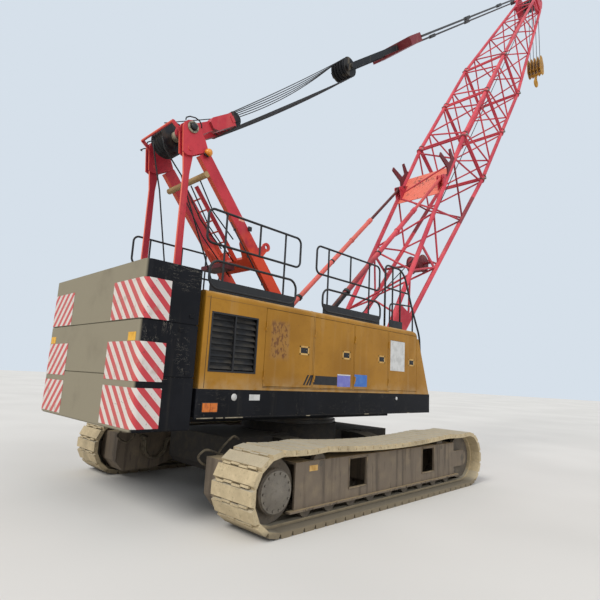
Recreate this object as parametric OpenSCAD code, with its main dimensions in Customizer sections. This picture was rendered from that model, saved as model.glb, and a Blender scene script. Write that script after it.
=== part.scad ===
// Crawler crane with a lattice boom: tracked undercarriage, slewing upperworks with two machine
// houses, a luffing gantry, stacked counterweight and a cab, and the boom at its working angle.
// X points forward, Y to the left and Z up. The origin is on the ground under the slewing axis.

/* [Tracks] */
// Distance between the drive wheel's axle and the idler's axle
wheel_base = 5280; // [5100:20:5600]
// Distance between the middles of the two tracks
track_gauge = 4460; // [4300:20:4800]
// Width of a track shoe
shoe_w = 800; // [700:20:900]
// Outer radius of the track round its end wheels
track_r = 525; // [500:5:550]
// Thickness of a shoe plate
shoe_t = 55; // [40:1:65]
// Length of one shoe along the track
shoe_pitch = 210; // [190:5:300]
// Gap between two shoes at the ground; it narrows to a third at the links
shoe_gap = 42; // [30:2:60]
// Depth of the roller path inside the shoes
path_t = 55; // [45:1:60]
// Sag of the track's top run between its carrier rollers
top_sag = 70; // [0:5:80]

/* [Side frames] */
// Length of a side frame's box
frame_l = 4520; // [4400:20:4600]
// Width of a side frame over its webs
frame_w = 460; // [440:10:500]
// Height of a side frame's top above the ground
frame_top = 840; // [800:5:850]
// Height of a side frame's lower edge above the ground
frame_low = 215; // [200:5:230]
// Plate thickness of a side frame
frame_t = 30; // [20:1:35]
// Length of a window in a side frame's outer web
window_l = 420; // [300:10:440]
// Distance of a window's middle from the windows' common middle
window_x = 1065; // [1000:5:1100]
// Distance of the windows' common middle ahead of the crane's middle
window_ahead = 180; // [0:10:200]

/* [Upperworks] */
// Width over the machine houses
house_w = 3200; // [3150:10:3300]
// Length of the right house along its floor
house_l = 6120; // [6000:20:6300]
// Rear end of the machine houses, behind the slewing axis
house_rear = 3320; // [3300:5:3340]
// Height of the house floor above the ground
floor_z = 1750; // [1740:5:1760]
// Height of the machine houses above their floor
house_h = 1360; // [1300:10:1400]
// Clear width between the inner walls of the two houses
house_gap = 1900; // [1860:10:1960]
// Wall thickness of the houses
wall_t = 40; // [30:1:50]
// Length of a house door along the wall
door_l = 1120; // [1080:5:1130]
// Gap round a door
door_gap = 8; // [6:1:12]
// Lower edge of the deck's side plate above the ground
deck_low = 1370; // [1350:5:1400]
// Length over the three counterweight blocks, front to rear
weight_l = 820; // [760:10:900]
// Rear face of the counterweight, behind the slewing axis
weight_rear = 4230; // [4200:10:4300]

/* [Gantry] */
// Height of the gantry's head shaft above the ground
head_z = 5940; // [5850:10:6000]
// Distance of the gantry's head shaft behind the slewing axis
head_x = 3210; // [3180:10:3250]
// Distance of a gantry leg's middle from the crane's middle
leg_y = 560; // [550:5:570]
// Depth of a front leg's box section
leg_d = 230; // [200:10:240]
// Width of a front leg's box section
leg_w = 100; // [90:5:105]

/* [Boom] */
// Angle of the boom above level as it stands
boom_angle = 54.35; // [53.5:0.05:55]
// Length of the tapered lower section
butt_l = 9150; // [9000:50:9200]
// Length of one middle section
insert_l = 3050; // [2900:50:3100]
// Length of the tapered head section
tip_l = 9150; // [9000:50:9300]
// Depth of the boom over its chord middles
boom_d = 1700; // [1600:10:1750]
// Width of the boom over its chord middles
boom_w = 1560; // [1540:5:1580]
// Outer radius of a chord tube
chord_r = 62; // [50:1:66]
// Outer radius of a lacing tube
lace_r = 27; // [20:1:32]
// Radius of the sheaves in the boom head
sheave_r = 330; // [300:5:350]
// Length of the hoist rope's falls below the boom head
fall_l = 3200; // [2500:50:4000]

/* [Hidden] */

red = [0.80, 0.30, 0.29];
ochre = [0.80, 0.56, 0.20];
near_black = [0.13, 0.13, 0.15];
dust = [0.62, 0.55, 0.45];
dirty_grey = [0.42, 0.39, 0.36];
steel = [0.45, 0.45, 0.46];
rope_grey = [0.25, 0.25, 0.26];

seat_gap = 2;
fit = 0.3;
run = 0.05;
eps = 1;
half_base = wheel_base / 2;
track_y = track_gauge / 2;

// Outline of a track: the line where the shoe plates meet the roller path
path_r = track_r - shoe_t;
loop_l = 2 * wheel_base + 2 * PI * path_r;
shoe_n = round(loop_l / shoe_pitch);
shoe_step = loop_l / shoe_n;
arc_l = PI * path_r;
carrier_x = 1750;
carrier_r = 138;
end_sag = 22;
roller_r = 118;
roller_n = 9;
roller_pitch = 500;
carrier_gap = 12;
// The end wheels fit inside the flats of the roller path
wheel_r = (path_r - path_t) * cos(shoe_step / path_r * 90 / PI) - fit;

function top_drop(x) = abs(x) < carrier_x
    ? top_sag * (1 - pow(x / carrier_x, 2))
    : end_sag * 4 * (abs(x) - carrier_x) * (half_base - abs(x)) / pow(half_base - carrier_x, 2);

// Point of the loop at length s along it, moved inward by d: forward on the ground, back on top
function loop_pt(s, d) =
    s < wheel_base ? [s - half_base, shoe_t + d]
    : s < wheel_base + arc_l ? end_pt(half_base, (s - wheel_base) / path_r * 180 / PI, d)
    : s < 2 * wheel_base + arc_l ? top_pt(half_base - (s - wheel_base - arc_l), d)
    : end_pt(-half_base, 180 + (s - 2 * wheel_base - arc_l) / path_r * 180 / PI, d);
function end_pt(x, a, d) = [x + (path_r - d) * sin(a), track_r - (path_r - d) * cos(a)];
function top_pt(x, d) = [x, track_r + path_r - d - top_drop(x)];
function unit(v) = v / norm(v);

function shoe_outline(i) = let (
        a = loop_pt(i * shoe_step, 0),
        b = loop_pt(((i + 1) % shoe_n) * shoe_step, 0),
        u = unit(b - a),
        n = [u[1], -u[0]],
        g = shoe_gap / 2)
    [a, a + u * g / 3, a + u * g + n * shoe_t, b - u * g + n * shoe_t, b - u * g / 3];
function ring_line(d) = [for (i = [0 : shoe_n - 1]) loop_pt(i * shoe_step, d)];

// Upperworks places
deck_rear = house_rear + 30;
deck_front = 2830;
house_in = house_gap / 2;
house_out = house_w / 2;
house_front = house_l - house_rear;
roof_z = floor_z + house_h;
ring_top = 1230;
weight_low = 1210;
weight_h = [670, 700, 780];
weight_front = weight_rear - weight_l;
girder_y = 700;
girder_t = 60;
floor_top = ring_top + 60;
recess_l = 320;
recess_w = 1800;

// Gantry and boom places, in the plane of the boom
foot = [1800, 2000];
head = [-head_x, head_z];
leg_foot = [225, 1950];
leg_top = head + [270, -345];
leg_up = unit(leg_top - leg_foot);
strut_pin = head + [-8, -370];
strut_pin_r = 45;
shaft_r = 62;
boom_l = butt_l + 2 * insert_l + tip_l;
along = [cos(boom_angle), sin(boom_angle)];
across = [-sin(boom_angle), cos(boom_angle)];
function boom_pt(u, v) = foot + u * along + v * across;

foot_d = 260;
pin_r = 60;
foot_y = 780;
leg_pin = 50;
pendant_u = boom_l - 350;
pendant_v = 450;
pendant_end = boom_pt(pendant_u, pendant_v);
line = unit(pendant_end - head);
line_l = norm(pendant_end - head);
line_angle = atan2(line[1], line[0]);
backstop_y = 720;
stop_ear = 66;
stop_pin = 40;
stop_gap = 8;
backstop_foot = [-180, 2860];
backstop_eye = [5030, 7990];
backstop_l = norm(backstop_eye - backstop_foot);
backstop_angle = atan2(backstop_eye[1] - backstop_foot[1], backstop_eye[0] - backstop_foot[0]);

module left_or_right(side) {
    if (side > 0) children();
    else mirror([0, 1, 0]) children();
}

// A solid drawn in X and Z, from y0 to y1
module slab_y(y0, y1) {
    translate([0, y1, 0]) rotate([90, 0, 0]) linear_extrude(height = y1 - y0) children();
}

// A round bar along Y
module bar_y(x, z, y0, y1, r) {
    translate([x, y0, z]) rotate([-90, 0, 0]) cylinder(r = r, h = y1 - y0, $fn = 48);
}

// A box between two corners
module block(a, b) {
    translate(a) cube(b - a);
}

// A round tube from point a to point b
module strut(a, b, r, fn = 32) {
    v = b - a;
    translate(a)
        rotate([0, acos(v[2] / norm(v)), atan2(v[1], v[0])])
        cylinder(r = r, h = norm(v), $fn = fn);
}

// A flat bar in the XZ plane between two points, d deep and from y0 to y1
module beam(a, b, d, y0, y1, over = 0) {
    v = b - a;
    translate([a[0], 0, a[1]])
        rotate([0, -atan2(v[1], v[0]), 0])
        translate([-over, y0, -d / 2])
        cube([norm(v) + 2 * over, y1 - y0, d]);
}

module track(side) {
    color(dust) left_or_right(side) {
        slab_y(track_y - shoe_w / 2, track_y + shoe_w / 2)
            difference() {
                polygon([for (i = [0 : shoe_n - 1]) each shoe_outline(i)]);
                polygon(ring_line(18));
            }
        for (y = [-165, 165])
            slab_y(track_y + y - 45, track_y + y + 45)
                difference() {
                    polygon(ring_line(8));
                    polygon(ring_line(path_t));
                }
    }
}

module side_frame(side) {
    in_y = track_y - frame_w / 2;
    out_y = track_y + frame_w / 2;
    half_l = frame_l / 2;
    web_low = frame_low + 25;
    // the end plates stand back from the wheels
    end_in = 190;
    color(dirty_grey) left_or_right(side) difference() {
        union() {
            block([-half_l, in_y, frame_top - frame_t], [half_l, out_y, frame_top]);
            for (y = [in_y, out_y - frame_t])
                block([-half_l, y, web_low], [half_l, y + frame_t, frame_top]);
            for (x = [-half_l + end_in, -500, 500, half_l - end_in])
                block([x - frame_t, in_y, 400], [x, out_y, frame_top]);
            // flanges along the lower edge
            block([-half_l - 120, in_y - 50, frame_low], [half_l + 120, in_y + frame_t, web_low]);
            block([-half_l - 120, out_y - frame_t, frame_low], [half_l + 120, out_y + 50, web_low]);
            // the inner web runs on to the drive wheel, both webs to the idler
            slab_y(in_y, in_y + frame_t) yoke(-1, 300);
            slab_y(in_y, in_y + frame_t) yoke(1, 150);
            slab_y(out_y - frame_t, out_y) yoke(1, 150);
            // travel drive in its guard, inside the track
            slab_y(in_y - 620, in_y)
                translate([-half_base, 0])
                polygon([[-300, 330], [-150, 150], [460, 150], [880, 300], [880, 820], [-300, 820]]);
        }
        for (x = [window_ahead - window_x, window_ahead + window_x])
            block([x - window_l / 2, out_y - frame_t - eps, 385],
                  [x + window_l / 2, out_y + eps, frame_top - 45]);
        for (x = [-carrier_x, carrier_x])
            block([x - carrier_r - 20, in_y + frame_t, frame_top - frame_t - eps],
                  [x + carrier_r + 20, out_y - frame_t, frame_top + eps]);
        // holes for the roller and wheel pins
        for (x = [-carrier_x, carrier_x])
            bar_y(x, carrier_z(), in_y - eps, out_y + eps, carrier_pin + fit);
        bar_y(half_base, track_r, in_y - eps, out_y + eps, idler_pin + fit);
        bar_y(-half_base, track_r, in_y - hub_depth, out_y + eps, hub_r + fit);
    }
}

function carrier_z() = track_r + path_r - path_t - carrier_gap - carrier_r;
carrier_pin = 43;
idler_pin = 68;
hub_r = 116;
hub_depth = 100;

// Plate from the frame's end out to a wheel's axle
module yoke(end, r) {
    reach = end * (frame_l / 2 - 100);
    translate([end * half_base, track_r]) circle(r = r, $fn = 64);
    polygon([[reach, track_r - r], [end * half_base, track_r - r],
             [end * half_base, track_r + r], [reach, track_r + r]]);
}

module wheels(side) {
    half_in = frame_w / 2 - frame_t;
    color(dirty_grey) left_or_right(side) {
        // drive wheel with its lugs and the round cover of the final drive, proud of the frame
        translate([-half_base, track_y, track_r]) rotate([90, 0, 0]) {
            rotate_extrude($fn = 96)
                polygon([[0, -270], [265, -270], [280, -255], [280, -150], [wheel_r, -150], [wheel_r, -100],
                         [330, -100], [330, 100], [wheel_r, 100], [wheel_r, 150], [300, 150],
                         [300, 190], [0, 190]]);
            for (i = [0 : 12])
                rotate([0, 0, i * 360 / 13])
                    translate([300, -45, -85]) cube([wheel_r + 25 - 300, 90, 170]);
            translate([0, 0, 185]) cylinder(r = hub_r, h = frame_w / 2 + hub_depth - fit - 185, $fn = 48);
        }
        // idler
        translate([half_base, track_y, track_r]) rotate([90, 0, 0])
            rotate_extrude($fn = 96)
                polygon([[0, -185], [110, -185], [110, -150], [wheel_r, -150], [wheel_r, -85],
                         [360, -60], [160, -50], [160, 50], [360, 60], [wheel_r, 85],
                         [wheel_r, 150], [110, 150], [110, 185], [0, 185]]);
        bar_y(half_base, track_r, track_y - frame_w / 2 + seat_gap, track_y + frame_w / 2 - seat_gap,
              idler_pin);
        // rollers under the frame, each with two treads and a waist
        for (i = [0 : roller_n - 1])
            translate([(i - (roller_n - 1) / 2) * roller_pitch, track_y, shoe_t + path_t + fit + roller_r])
                rotate([90, 0, 0])
                rotate_extrude($fn = 48)
                polygon([[0, -half_in], [50, -half_in], [50, -195], [roller_r, -195], [roller_r, -110],
                         [70, -100], [70, 100], [roller_r, 110], [roller_r, 195], [50, 195],
                         [50, half_in], [0, half_in]]);
        // carrier rollers on top
        for (x = [-carrier_x, carrier_x])
            translate([x, track_y, carrier_z()]) rotate([90, 0, 0])
                rotate_extrude($fn = 48)
                polygon([[0, -230], [carrier_pin, -230], [carrier_pin, -195], [carrier_r, -195],
                         [carrier_r, -130], [70, -120], [70, 120], [carrier_r, 130],
                         [carrier_r, 195], [carrier_pin, 195], [carrier_pin, 230], [0, 230]]);
    }
}

module car_body() {
    in_y = track_y - frame_w / 2;
    axle_x = 1055;
    color(dirty_grey) {
        translate([0, 0, 480]) cylinder(r = 960, h = 640, $fn = 96);
        block([-1260, -700, 430], [1260, 700, 960]);
        for (x = [-axle_x, axle_x])
            slab_x(x - 205, x + 205)
                polygon([[-in_y, 400], [in_y, 400], [in_y, 780], [1100, 940], [-1100, 940],
                         [-in_y, 780]]);
    }
}

// A solid drawn in Y and Z, from x0 to x1
module slab_x(x0, x1) {
    translate([x0, 0, 0]) rotate([90, 0, 90]) linear_extrude(height = x1 - x0) children();
}

module slew_ring() {
    color(steel) translate([0, 0, 1120])
        difference() {
            union() {
                cylinder(r = 900, h = ring_top - 1120, $fn = 96);
                translate([0, 0, 25]) cylinder(r = 940, h = 40, $fn = 96);
            }
            translate([0, 0, -eps]) cylinder(r = 700, h = 200, $fn = 96);
        }
}

module car_body_weights() {
    color(dust) for (x = [-1, 1])
        mirror([x < 0 ? 1 : 0, 0, 0])
        slab_y(-900, 900)
        polygon([[1260, 440], [1330, 350], [2060, 350], [2160, 470], [2160, 960], [1260, 960]]);
}

module travel_hoses() {
    in_y = track_y - frame_w / 2 - 620;
    hose_r = 20;
    bend = 220;
    low_z = 590;
    mid_x = -half_base + 370;
    color(near_black) for (side = [-1, 1], k = [0 : 2])
        left_or_right(side) translate([0, in_y - 200 + k * 60, 0]) {
            translate([mid_x, 0, low_z]) rotate([90, 0, 0]) rotate([0, 0, 180])
                rotate_extrude(angle = 180, $fn = 48) translate([bend, 0]) circle(r = hose_r, $fn = 16);
            translate([mid_x - bend, 0, low_z]) cylinder(r = hose_r, h = 110, $fn = 16);
            translate([mid_x + bend + 100, 0, low_z]) rotate([90, 0, 0]) rotate([0, 0, 90])
                rotate_extrude(angle = 90, $fn = 48) translate([100, 0]) circle(r = hose_r, $fn = 16);
            translate([mid_x + bend + 100, 0, low_z + 100]) rotate([0, 90, 0])
                cylinder(r = hose_r, h = -1260 - (mid_x + bend + 100), $fn = 16);
            // fitting on the drive guard
            translate([mid_x - bend, 0, low_z + 130]) rotate([-90, 0, 0])
                cylinder(r = 32, h = 200 - k * 60, $fn = 16);
        }
}

module turntable() {
    rear = -weight_front - recess_l;
    color(near_black) {
        block([-house_rear, -house_in, ring_top + 10], [2150, house_in, floor_top]);
        block([rear, -recess_w / 2 + 5, ring_top + 10], [-house_rear + eps, recess_w / 2 - 5, floor_top]);
        translate([0, 0, ring_top + fit]) cylinder(r = 880, h = floor_top - ring_top - fit, $fn = 96);
        for (y = [-girder_y, girder_y])
            block([rear, y - girder_t / 2, ring_top + 20], [2150, y + girder_t / 2, 1700]);
        for (x = [-3200, -1900, -300, 1300]) {
            block([x, -girder_y, ring_top + 20], [x + 40, girder_y, 1600]);
            for (y = [-house_in, girder_y])
                block([x, y, ring_top + 20], [x + 40, y + house_in - girder_y, 1700]);
        }
        for (y = [-1, 1]) {
            // lugs for the boom foot, a pair on each side, and its pin
            for (d = [-75 - 45, 75])
                slab_y(y * foot_y + d, y * foot_y + d + 45) {
                    translate(foot) circle(r = 150, $fn = 64);
                    polygon([[foot[0] - 260, ring_top + 20], [foot[0] + 260, ring_top + 20],
                             [foot[0] + 148, foot[1]], [foot[0] - 148, foot[1]]]);
                }
            bar_y(foot[0], foot[1], y * foot_y - 135, y * foot_y + 135, pin_r);
            // brackets for the gantry's front legs and for the backstops, on the girder
            difference() {
                union() {
                    for (d = [leg_w / 2 + 5, -leg_w / 2 - 5 - 35])
                        slab_y(y * leg_y + d, y * leg_y + d + 35)
                            translate(leg_foot)
                            polygon([[-420, -450], [290, -450], [200, 0], [120, 150], [-120, 150],
                                     [-220, 0]]);
                    for (d = [stop_ear, -stop_ear - 35])
                        slab_y(y * backstop_y + d, y * backstop_y + d + 35) {
                            translate(backstop_foot) circle(r = 110, $fn = 48);
                            polygon([[130, 1600], [470, 1600], backstop_foot + [104, 0],
                                     backstop_foot - [104, 0], [130, 2000]]);
                        }
                    slab_y(y * backstop_y - stop_ear - 35, y * backstop_y + stop_ear + 35)
                        polygon([[120, 1590], [490, 1590], [460, 1760], [120, 1760]]);
                    slab_y(y > 0 ? leg_y - leg_w / 2 - 40 : -girder_y,
                           y > 0 ? girder_y : -leg_y + leg_w / 2 + 40)
                        polygon([[-195, 1500], [500, 1500], [500, 1690], [-195, 1690]]);
                }
                bar_y(leg_foot[0], leg_foot[1], y * leg_y - 120, y * leg_y + 120, leg_pin + fit);
            }
            // ends of the backstop's foot pin
            for (d = [stop_ear, -stop_ear - 45])
                bar_y(backstop_foot[0], backstop_foot[1], y * backstop_y + d, y * backstop_y + d + 45, stop_pin);
            // seats of the gantry's rear struts
            slab_y(y * leg_y - 60, y * leg_y + 60)
                polygon([[strut_pin[0] - 120, 1500], [strut_pin[0] + 120, 1500],
                         [strut_pin[0] + 80, 1900], [strut_pin[0] - 80, 1900]]);
        }
    }
}

module deck(side) {
    front = side > 0 ? 1290 : deck_front;
    in_y = house_in;
    out_y = house_out;
    color(near_black) left_or_right(side) {
        difference() {
            block([-deck_rear, in_y, deck_low], [front, out_y, floor_z]);
            block([-deck_rear + 30, in_y + 30, deck_low - eps], [front - 30, out_y - 30, floor_z - 40]);
        }
        for (x = [-2200, -1080, 80, 1150])
            block([x, in_y, deck_low + 120], [x + 30, out_y, floor_z]);
        // platform under the cab
        if (side > 0)
            block([front - 30, in_y, deck_low], [cab_x1 + 50, cab_y1, cab_low]);
    }
}

// Side view of a house, moved inward by d
module house_side(side, d) {
    front = side > 0 ? 1150 : house_front;
    rake = side > 0 ? 0 : 520;
    r = side > 0 ? 60 : 160;
    rear = -house_rear + d;
    low = floor_z + d;
    top = roof_z - d;
    slope_x = front - d;
    difference() {
        polygon([[rear, low], [slope_x, low], [slope_x - rake, top], [rear, top]]);
        translate([slope_x - rake - r, top - r]) difference() {
            square(r + 200);
            circle(r = r, $fn = 64);
            translate([0, -200]) square([r * 0.92, 200 + r * 0.4]);
        }
    }
}

module house_end(d) {
    r = 70 - d / 2;
    translate([house_in + d, floor_z + d]) square([house_out - house_in - 2 * d, house_h - 2 * d - r]);
    translate([house_in + d, floor_z + d]) square([house_out - house_in - 2 * d - r, house_h - 2 * d]);
    translate([house_out - d - r, roof_z - d - r]) circle(r = r, $fn = 64);
}

module house_body(side, d) {
    intersection() {
        slab_y(house_in + d, house_out - d) house_side(side, d);
        slab_x(-house_rear - 10, house_front + 10) house_end(d);
    }
}

door_low = floor_z + 55;
door_high = roof_z - 100;
first_door = -2200;
module house(side) {
    doors = side > 0 ? [0, 1] : [0, 1, 2, 3];
    color(ochre) left_or_right(side) difference() {
        house_body(side, 0);
        house_body(side, wall_t);
        for (k = doors)
            door_hole(k);
        block([louvre_x0, house_out - wall_t - eps, 1985], [louvre_x1, house_out + eps, 2820]);
    }
    color(ochre) left_or_right(side) for (k = doors, z = hinge_zs)
        translate([door_x(k) + 12 + door_gap, house_out + hinge_out, z - 45.3]) {
            cylinder(r = 9, h = 45, $fn = 24);
            translate([-25, -hinge_out - 2, 0]) cube([25, hinge_out + 3, 45]);
        }
}
hinge_zs = [1950, 2700];
// Distance of a door's hinge line outside the wall
hinge_out = 12;

function door_x(k) = first_door + k * door_l;
module door_hole(k) {
    block([door_x(k) + 12, house_out - wall_t - eps, door_low],
          [door_x(k + 1) - 12, house_out + eps, door_high]);
}

// A door hinged at its rear edge, with a latch pocket near its front edge
module house_door(side, k) {
    x0 = door_x(k) + 12 + door_gap;
    x1 = door_x(k + 1) - 12 - door_gap;
    color(ochre) left_or_right(side) {
        difference() {
            block([x0, house_out - wall_t, door_low + door_gap], [x1, house_out, door_high - door_gap]);
            block([x1 - 305, house_out - 14, 2362], [x1 - 115, house_out + eps, 2470]);
        }
        block([x1 - 285, house_out - 15, 2382], [x1 - 135, house_out - 4, 2450]);
        for (z = hinge_zs)
            translate([x0, house_out + hinge_out, z]) {
                cylinder(r = 9, h = 90, $fn = 24);
                translate([0, -hinge_out - 2, 0]) cube([30, hinge_out + 3, 90]);
            }
    }
}

// Ends of the louvred opening beside the first door, and the width of one bank of slats
louvre_x0 = -3200;
louvre_x1 = -2345;
louvre_w = 390;
module louvres() {
    color(near_black) for (side = [-1, 1])
        left_or_right(side) {
            difference() {
                block([louvre_x0, house_out - 30, 1985], [louvre_x1, house_out + 4, 2820]);
                for (x = [louvre_x0 + 25, louvre_x1 - 25 - louvre_w])
                    block([x, house_out - 31, 2010], [x + louvre_w, house_out + 5, 2795]);
            }
            for (x = [louvre_x0 + 24, louvre_x1 - 26 - louvre_w], i = [0 : 8])
                translate([x, house_out - 26, 2026 + i * 86])
                    rotate([35, 0, 0]) cube([louvre_w + 2, 8, 60]);
        }
}

module engine() {
    color(steel) block([-2100, -house_out + wall_t + 60, floor_z + wall_t],
                       [-300, -house_in - wall_t - 20, floor_z + 900]);
}

module counterweight(i) {
    low = weight_low + (i > 0 ? weight_h[0] : 0) + (i > 1 ? weight_h[1] : 0);
    r = 90;
    joint = 14;
    color(near_black) {
        translate([0, 0, low + joint]) linear_extrude(height = weight_h[i] - joint) weight_plan(0, r);
        translate([0, 0, low]) linear_extrude(height = joint + eps) weight_plan(joint, r);
    }
}

// Plan of a counterweight block: rounded rear corners and a recess for the gantry's rear struts
module weight_plan(d, r) {
    x0 = -weight_rear + d;
    x1 = -weight_front - d;
    y1 = house_out - d;
    difference() {
        union() {
            translate([x0 + r, -y1]) square([x1 - x0 - r, 2 * y1]);
            translate([x0, -y1 + r]) square([x1 - x0, 2 * (y1 - r)]);
            for (y = [-y1 + r, y1 - r])
                translate([x0 + r, y]) circle(r = r, $fn = 64);
        }
        translate([x1 - recess_l, -recess_w / 2]) square([recess_l + 80, recess_w]);
    }
}

// Winch drums between the girders: place and drum radius
// columns: x, z, rope radius
winches = [[850, 2080, 300], [-1250, 2080, 300], [-2450, 2020, 260]];
module winch_drums() {
    inside = girder_y - girder_t / 2;
    for (w = winches)
        color(rope_grey) translate([w[0], 0, w[1]]) rotate([90, 0, 0]) {
            rotate_extrude($fn = 96)
                polygon([[0, -480], [w[2] + 90, -480], [w[2] + 90, -450], [w[2], -450], [w[2], 450],
                         [w[2] + 90, 450], [w[2] + 90, 480], [0, 480]]);
            cylinder(r = 110, h = 2 * 560, center = true, $fn = 48);
        }
    color(near_black) for (w = winches, y = [-1, 1])
        slab_y(y > 0 ? 500 : -540, y > 0 ? 540 : -500) {
            translate([w[0], w[1]]) circle(r = 190, $fn = 48);
            polygon([[w[0] - 330, ring_top + 60], [w[0] + 330, ring_top + 60],
                     [w[0] + 185, w[1]], [w[0] - 185, w[1]]]);
        }
}

// Space of the gantry's legs: X up along a leg from its foot pin, Z towards the rear
module along_legs() {
    translate([leg_foot[0], 0, leg_foot[1]]) rotate([0, -atan2(leg_up[1], leg_up[0]), 0]) children();
}

module gantry_front_legs() {
    inner = leg_y - leg_w / 2;
    outer = leg_y + leg_w / 2;
    rear = leg_d / 2;
    eye = [2870, -337];
    color(red) {
        for (y = [-1, 1]) {
            beam(leg_foot - 130 * leg_up, leg_top, leg_d, y * leg_y - leg_w / 2, y * leg_y + leg_w / 2);
            bar_y(leg_foot[0], leg_foot[1], y * leg_y - leg_w / 2 - 40, y * leg_y + leg_w / 2 + 40,
                  leg_pin);
            // head plates with the shaft's hole and the strut's hole
            for (d = [leg_w / 2 - 5, -leg_w / 2 - 20])
                difference() {
                    slab_y(y * leg_y + d, y * leg_y + d + 25)
                        translate(head)
                        polygon([[-175, -46], [-150, 40], [-100, 90], [-30, 115], [60, 108], [154, 30],
                                 [258, -112], [320, -245], [335, -300], [38, -479], [-47, -503],
                                 [-136, -469]]);
                    bar_y(head[0], head[1], y * leg_y + d - eps, y * leg_y + d + 26, shaft_r + fit);
                    bar_y(strut_pin[0], strut_pin[1], y * leg_y + d - eps, y * leg_y + d + 26,
                          strut_pin_r + fit);
                }
            // bracket of the rope guard behind the sheaves
            beam(head + [-140, -90], head + [-305, 25], 60, y * inner - 12, y * inner + 12);
        }
        bar_y(head[0] - 305, head[1] + 25, -inner - 12, inner + 12, 22);
        along_legs() {
            // upper cross tube behind the legs and lower cross tube between them
            translate([4510, 0, rear + 40]) rotate([90, 0, 0])
                cylinder(r = 52, h = 2 * outer, center = true, $fn = 32);
            translate([760, 0, 0]) rotate([90, 0, 0])
                cylinder(r = 80, h = 2 * inner + 10, center = true, $fn = 32);
            // portal plate with haunches
            translate([0, 0, -10]) linear_extrude(height = rear + 5)
                polygon([[2650, -inner - 5], [3250, -inner - 5], [3190, -inner + 60], [2900, -330],
                         [2900, 330], [3190, inner - 60], [3250, inner + 5], [2650, inner + 5]]);
            // ladder from the portal plate to the upper tube
            for (y = [-130, 190])
                block([2880, y, rear - 55], [4400, y + 22, rear + 25]);
            for (i = [0 : 5])
                translate([3080 + i * 220, 35 + 11, rear - 15]) rotate([90, 0, 0])
                    cylinder(r = 15, h = 330, center = true, $fn = 16);
            // lifting eyes on arms from the front faces of the legs
            for (y = [-leg_y, leg_y])
                difference() {
                    translate([0, y + 20, 0]) rotate([90, 0, 0]) linear_extrude(height = 40) {
                        translate(eye) circle(r = 85, $fn = 48);
                        polygon([[eye[0] - 110, -rear + 5], [eye[0] - 55, eye[1]],
                                 [eye[0] + 55, eye[1]], [eye[0] + 90, -rear + 5]]);
                    }
                    translate([eye[0], y, eye[1]]) rotate([90, 0, 0])
                        cylinder(r = 38, h = 42, center = true, $fn = 48);
                }
        }
    }
}

// Flat struts that stand behind the sheaves, flared round their upper pins
module gantry_rear_struts() {
    top = strut_pin;
    low_z = 1900;
    half_t = 20;
    color(red) for (y = [-1, 1]) {
        slab_y(y * leg_y - half_t, y * leg_y + half_t) {
            translate(top) circle(r = 92, $fn = 48);
            polygon([[top[0] - 60, low_z], [top[0] + 60, low_z], [top[0] + 52, top[1] - 420],
                     [top[0] + 88, top[1] - 90], [top[0] + 92, top[1]], [top[0] - 92, top[1]],
                     [top[0] - 88, top[1] - 90], [top[0] - 52, top[1] - 420]]);
        }
        bar_y(top[0], top[1], y * leg_y - leg_w / 2 - 32, y * leg_y + leg_w / 2 + 32, strut_pin_r);
    }
}

module gantry_sheaves() {
    color(rope_grey) translate([head[0], 0, head[1]]) rotate([90, 0, 0]) {
        cylinder(r = shaft_r, h = 2 * (leg_y + leg_w / 2 + 60), center = true, $fn = 48);
        for (y = [-3 : 1])
            translate([0, 0, y * 77])
                rotate_extrude($fn = 64)
                polygon([[50, -32], [268, -32], [268, -28], [235, -6], [235, 6], [268, 28],
                         [268, 32], [50, 32]]);
    }
}

// A rounded upright loop of tube in the plane y, from corner a to corner b
module rail_loop(y, a, b, r = 160, tube = 19) {
    xs = [a[0] + r, b[0] - r];
    zs = [a[1] + r, b[1] - r];
    for (z = [a[1], b[1]])
        strut([xs[0], y, z], [xs[1], y, z], tube, 16);
    for (x = [a[0], b[0]])
        strut([x, y, zs[0]], [x, y, zs[1]], tube, 16);
    // columns: corner x, corner z, turn
    for (c = [[xs[1], zs[1], 0], [xs[0], zs[1], 90], [xs[0], zs[0], 180], [xs[1], zs[0], 270]])
        translate([c[0], y, c[1]]) rotate([90, 0, 0]) rotate([0, 0, c[2]])
            rotate_extrude(angle = 90, $fn = 48) translate([r, 0]) circle(r = tube, $fn = 16);
}

// Sections of guard rail on the roof. Columns: rear end, front end and the post between them
rail_parts = [[-3140, -1140, -2100], [-700, 1340, 320]];
rail_low = 800;
rail_high = 1335;
module roof_rails() {
    rail_y = house_out - 380;
    step_y = house_out - 120;
    color(near_black) for (side = [-1, 1], p = rail_parts) {
        if (side < 0 || p[0] < -1000)
            left_or_right(side) {
                rail_loop(rail_y, [p[0], roof_z + rail_low], [p[1], roof_z + rail_high], 110);
                strut([p[2], rail_y, roof_z + rail_low], [p[2], rail_y, roof_z + rail_high], 17, 16);
                for (x = [p[0] + 340, p[1] - 380])
                    strut([x, rail_y, roof_z], [x, rail_y, roof_z + rail_high], 17, 16);
                rail_loop(step_y, [p[0] - 80, roof_z + 60], [p[1] - 330, roof_z + 470]);
                block([p[0] - 60, step_y - 6, roof_z], [p[1] - 350, step_y + 6, roof_z + 190]);
            }
    }
}

// Cab on the left, beside the boom foot
cab_x0 = 1350;
cab_x1 = 3250;
cab_y0 = 930;
cab_y1 = 1870;
cab_low = deck_low + 80;
cab_top = 3260;
cab_wall = 50;
glass_t = 8;
cab_door_x0 = 1720;
cab_door_x1 = 2700;
cab_door_low = cab_low + 90;
cab_door_high = cab_top - 130;

cab_hinge_zs = [cab_door_low + 250, cab_door_high - 350];

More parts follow.
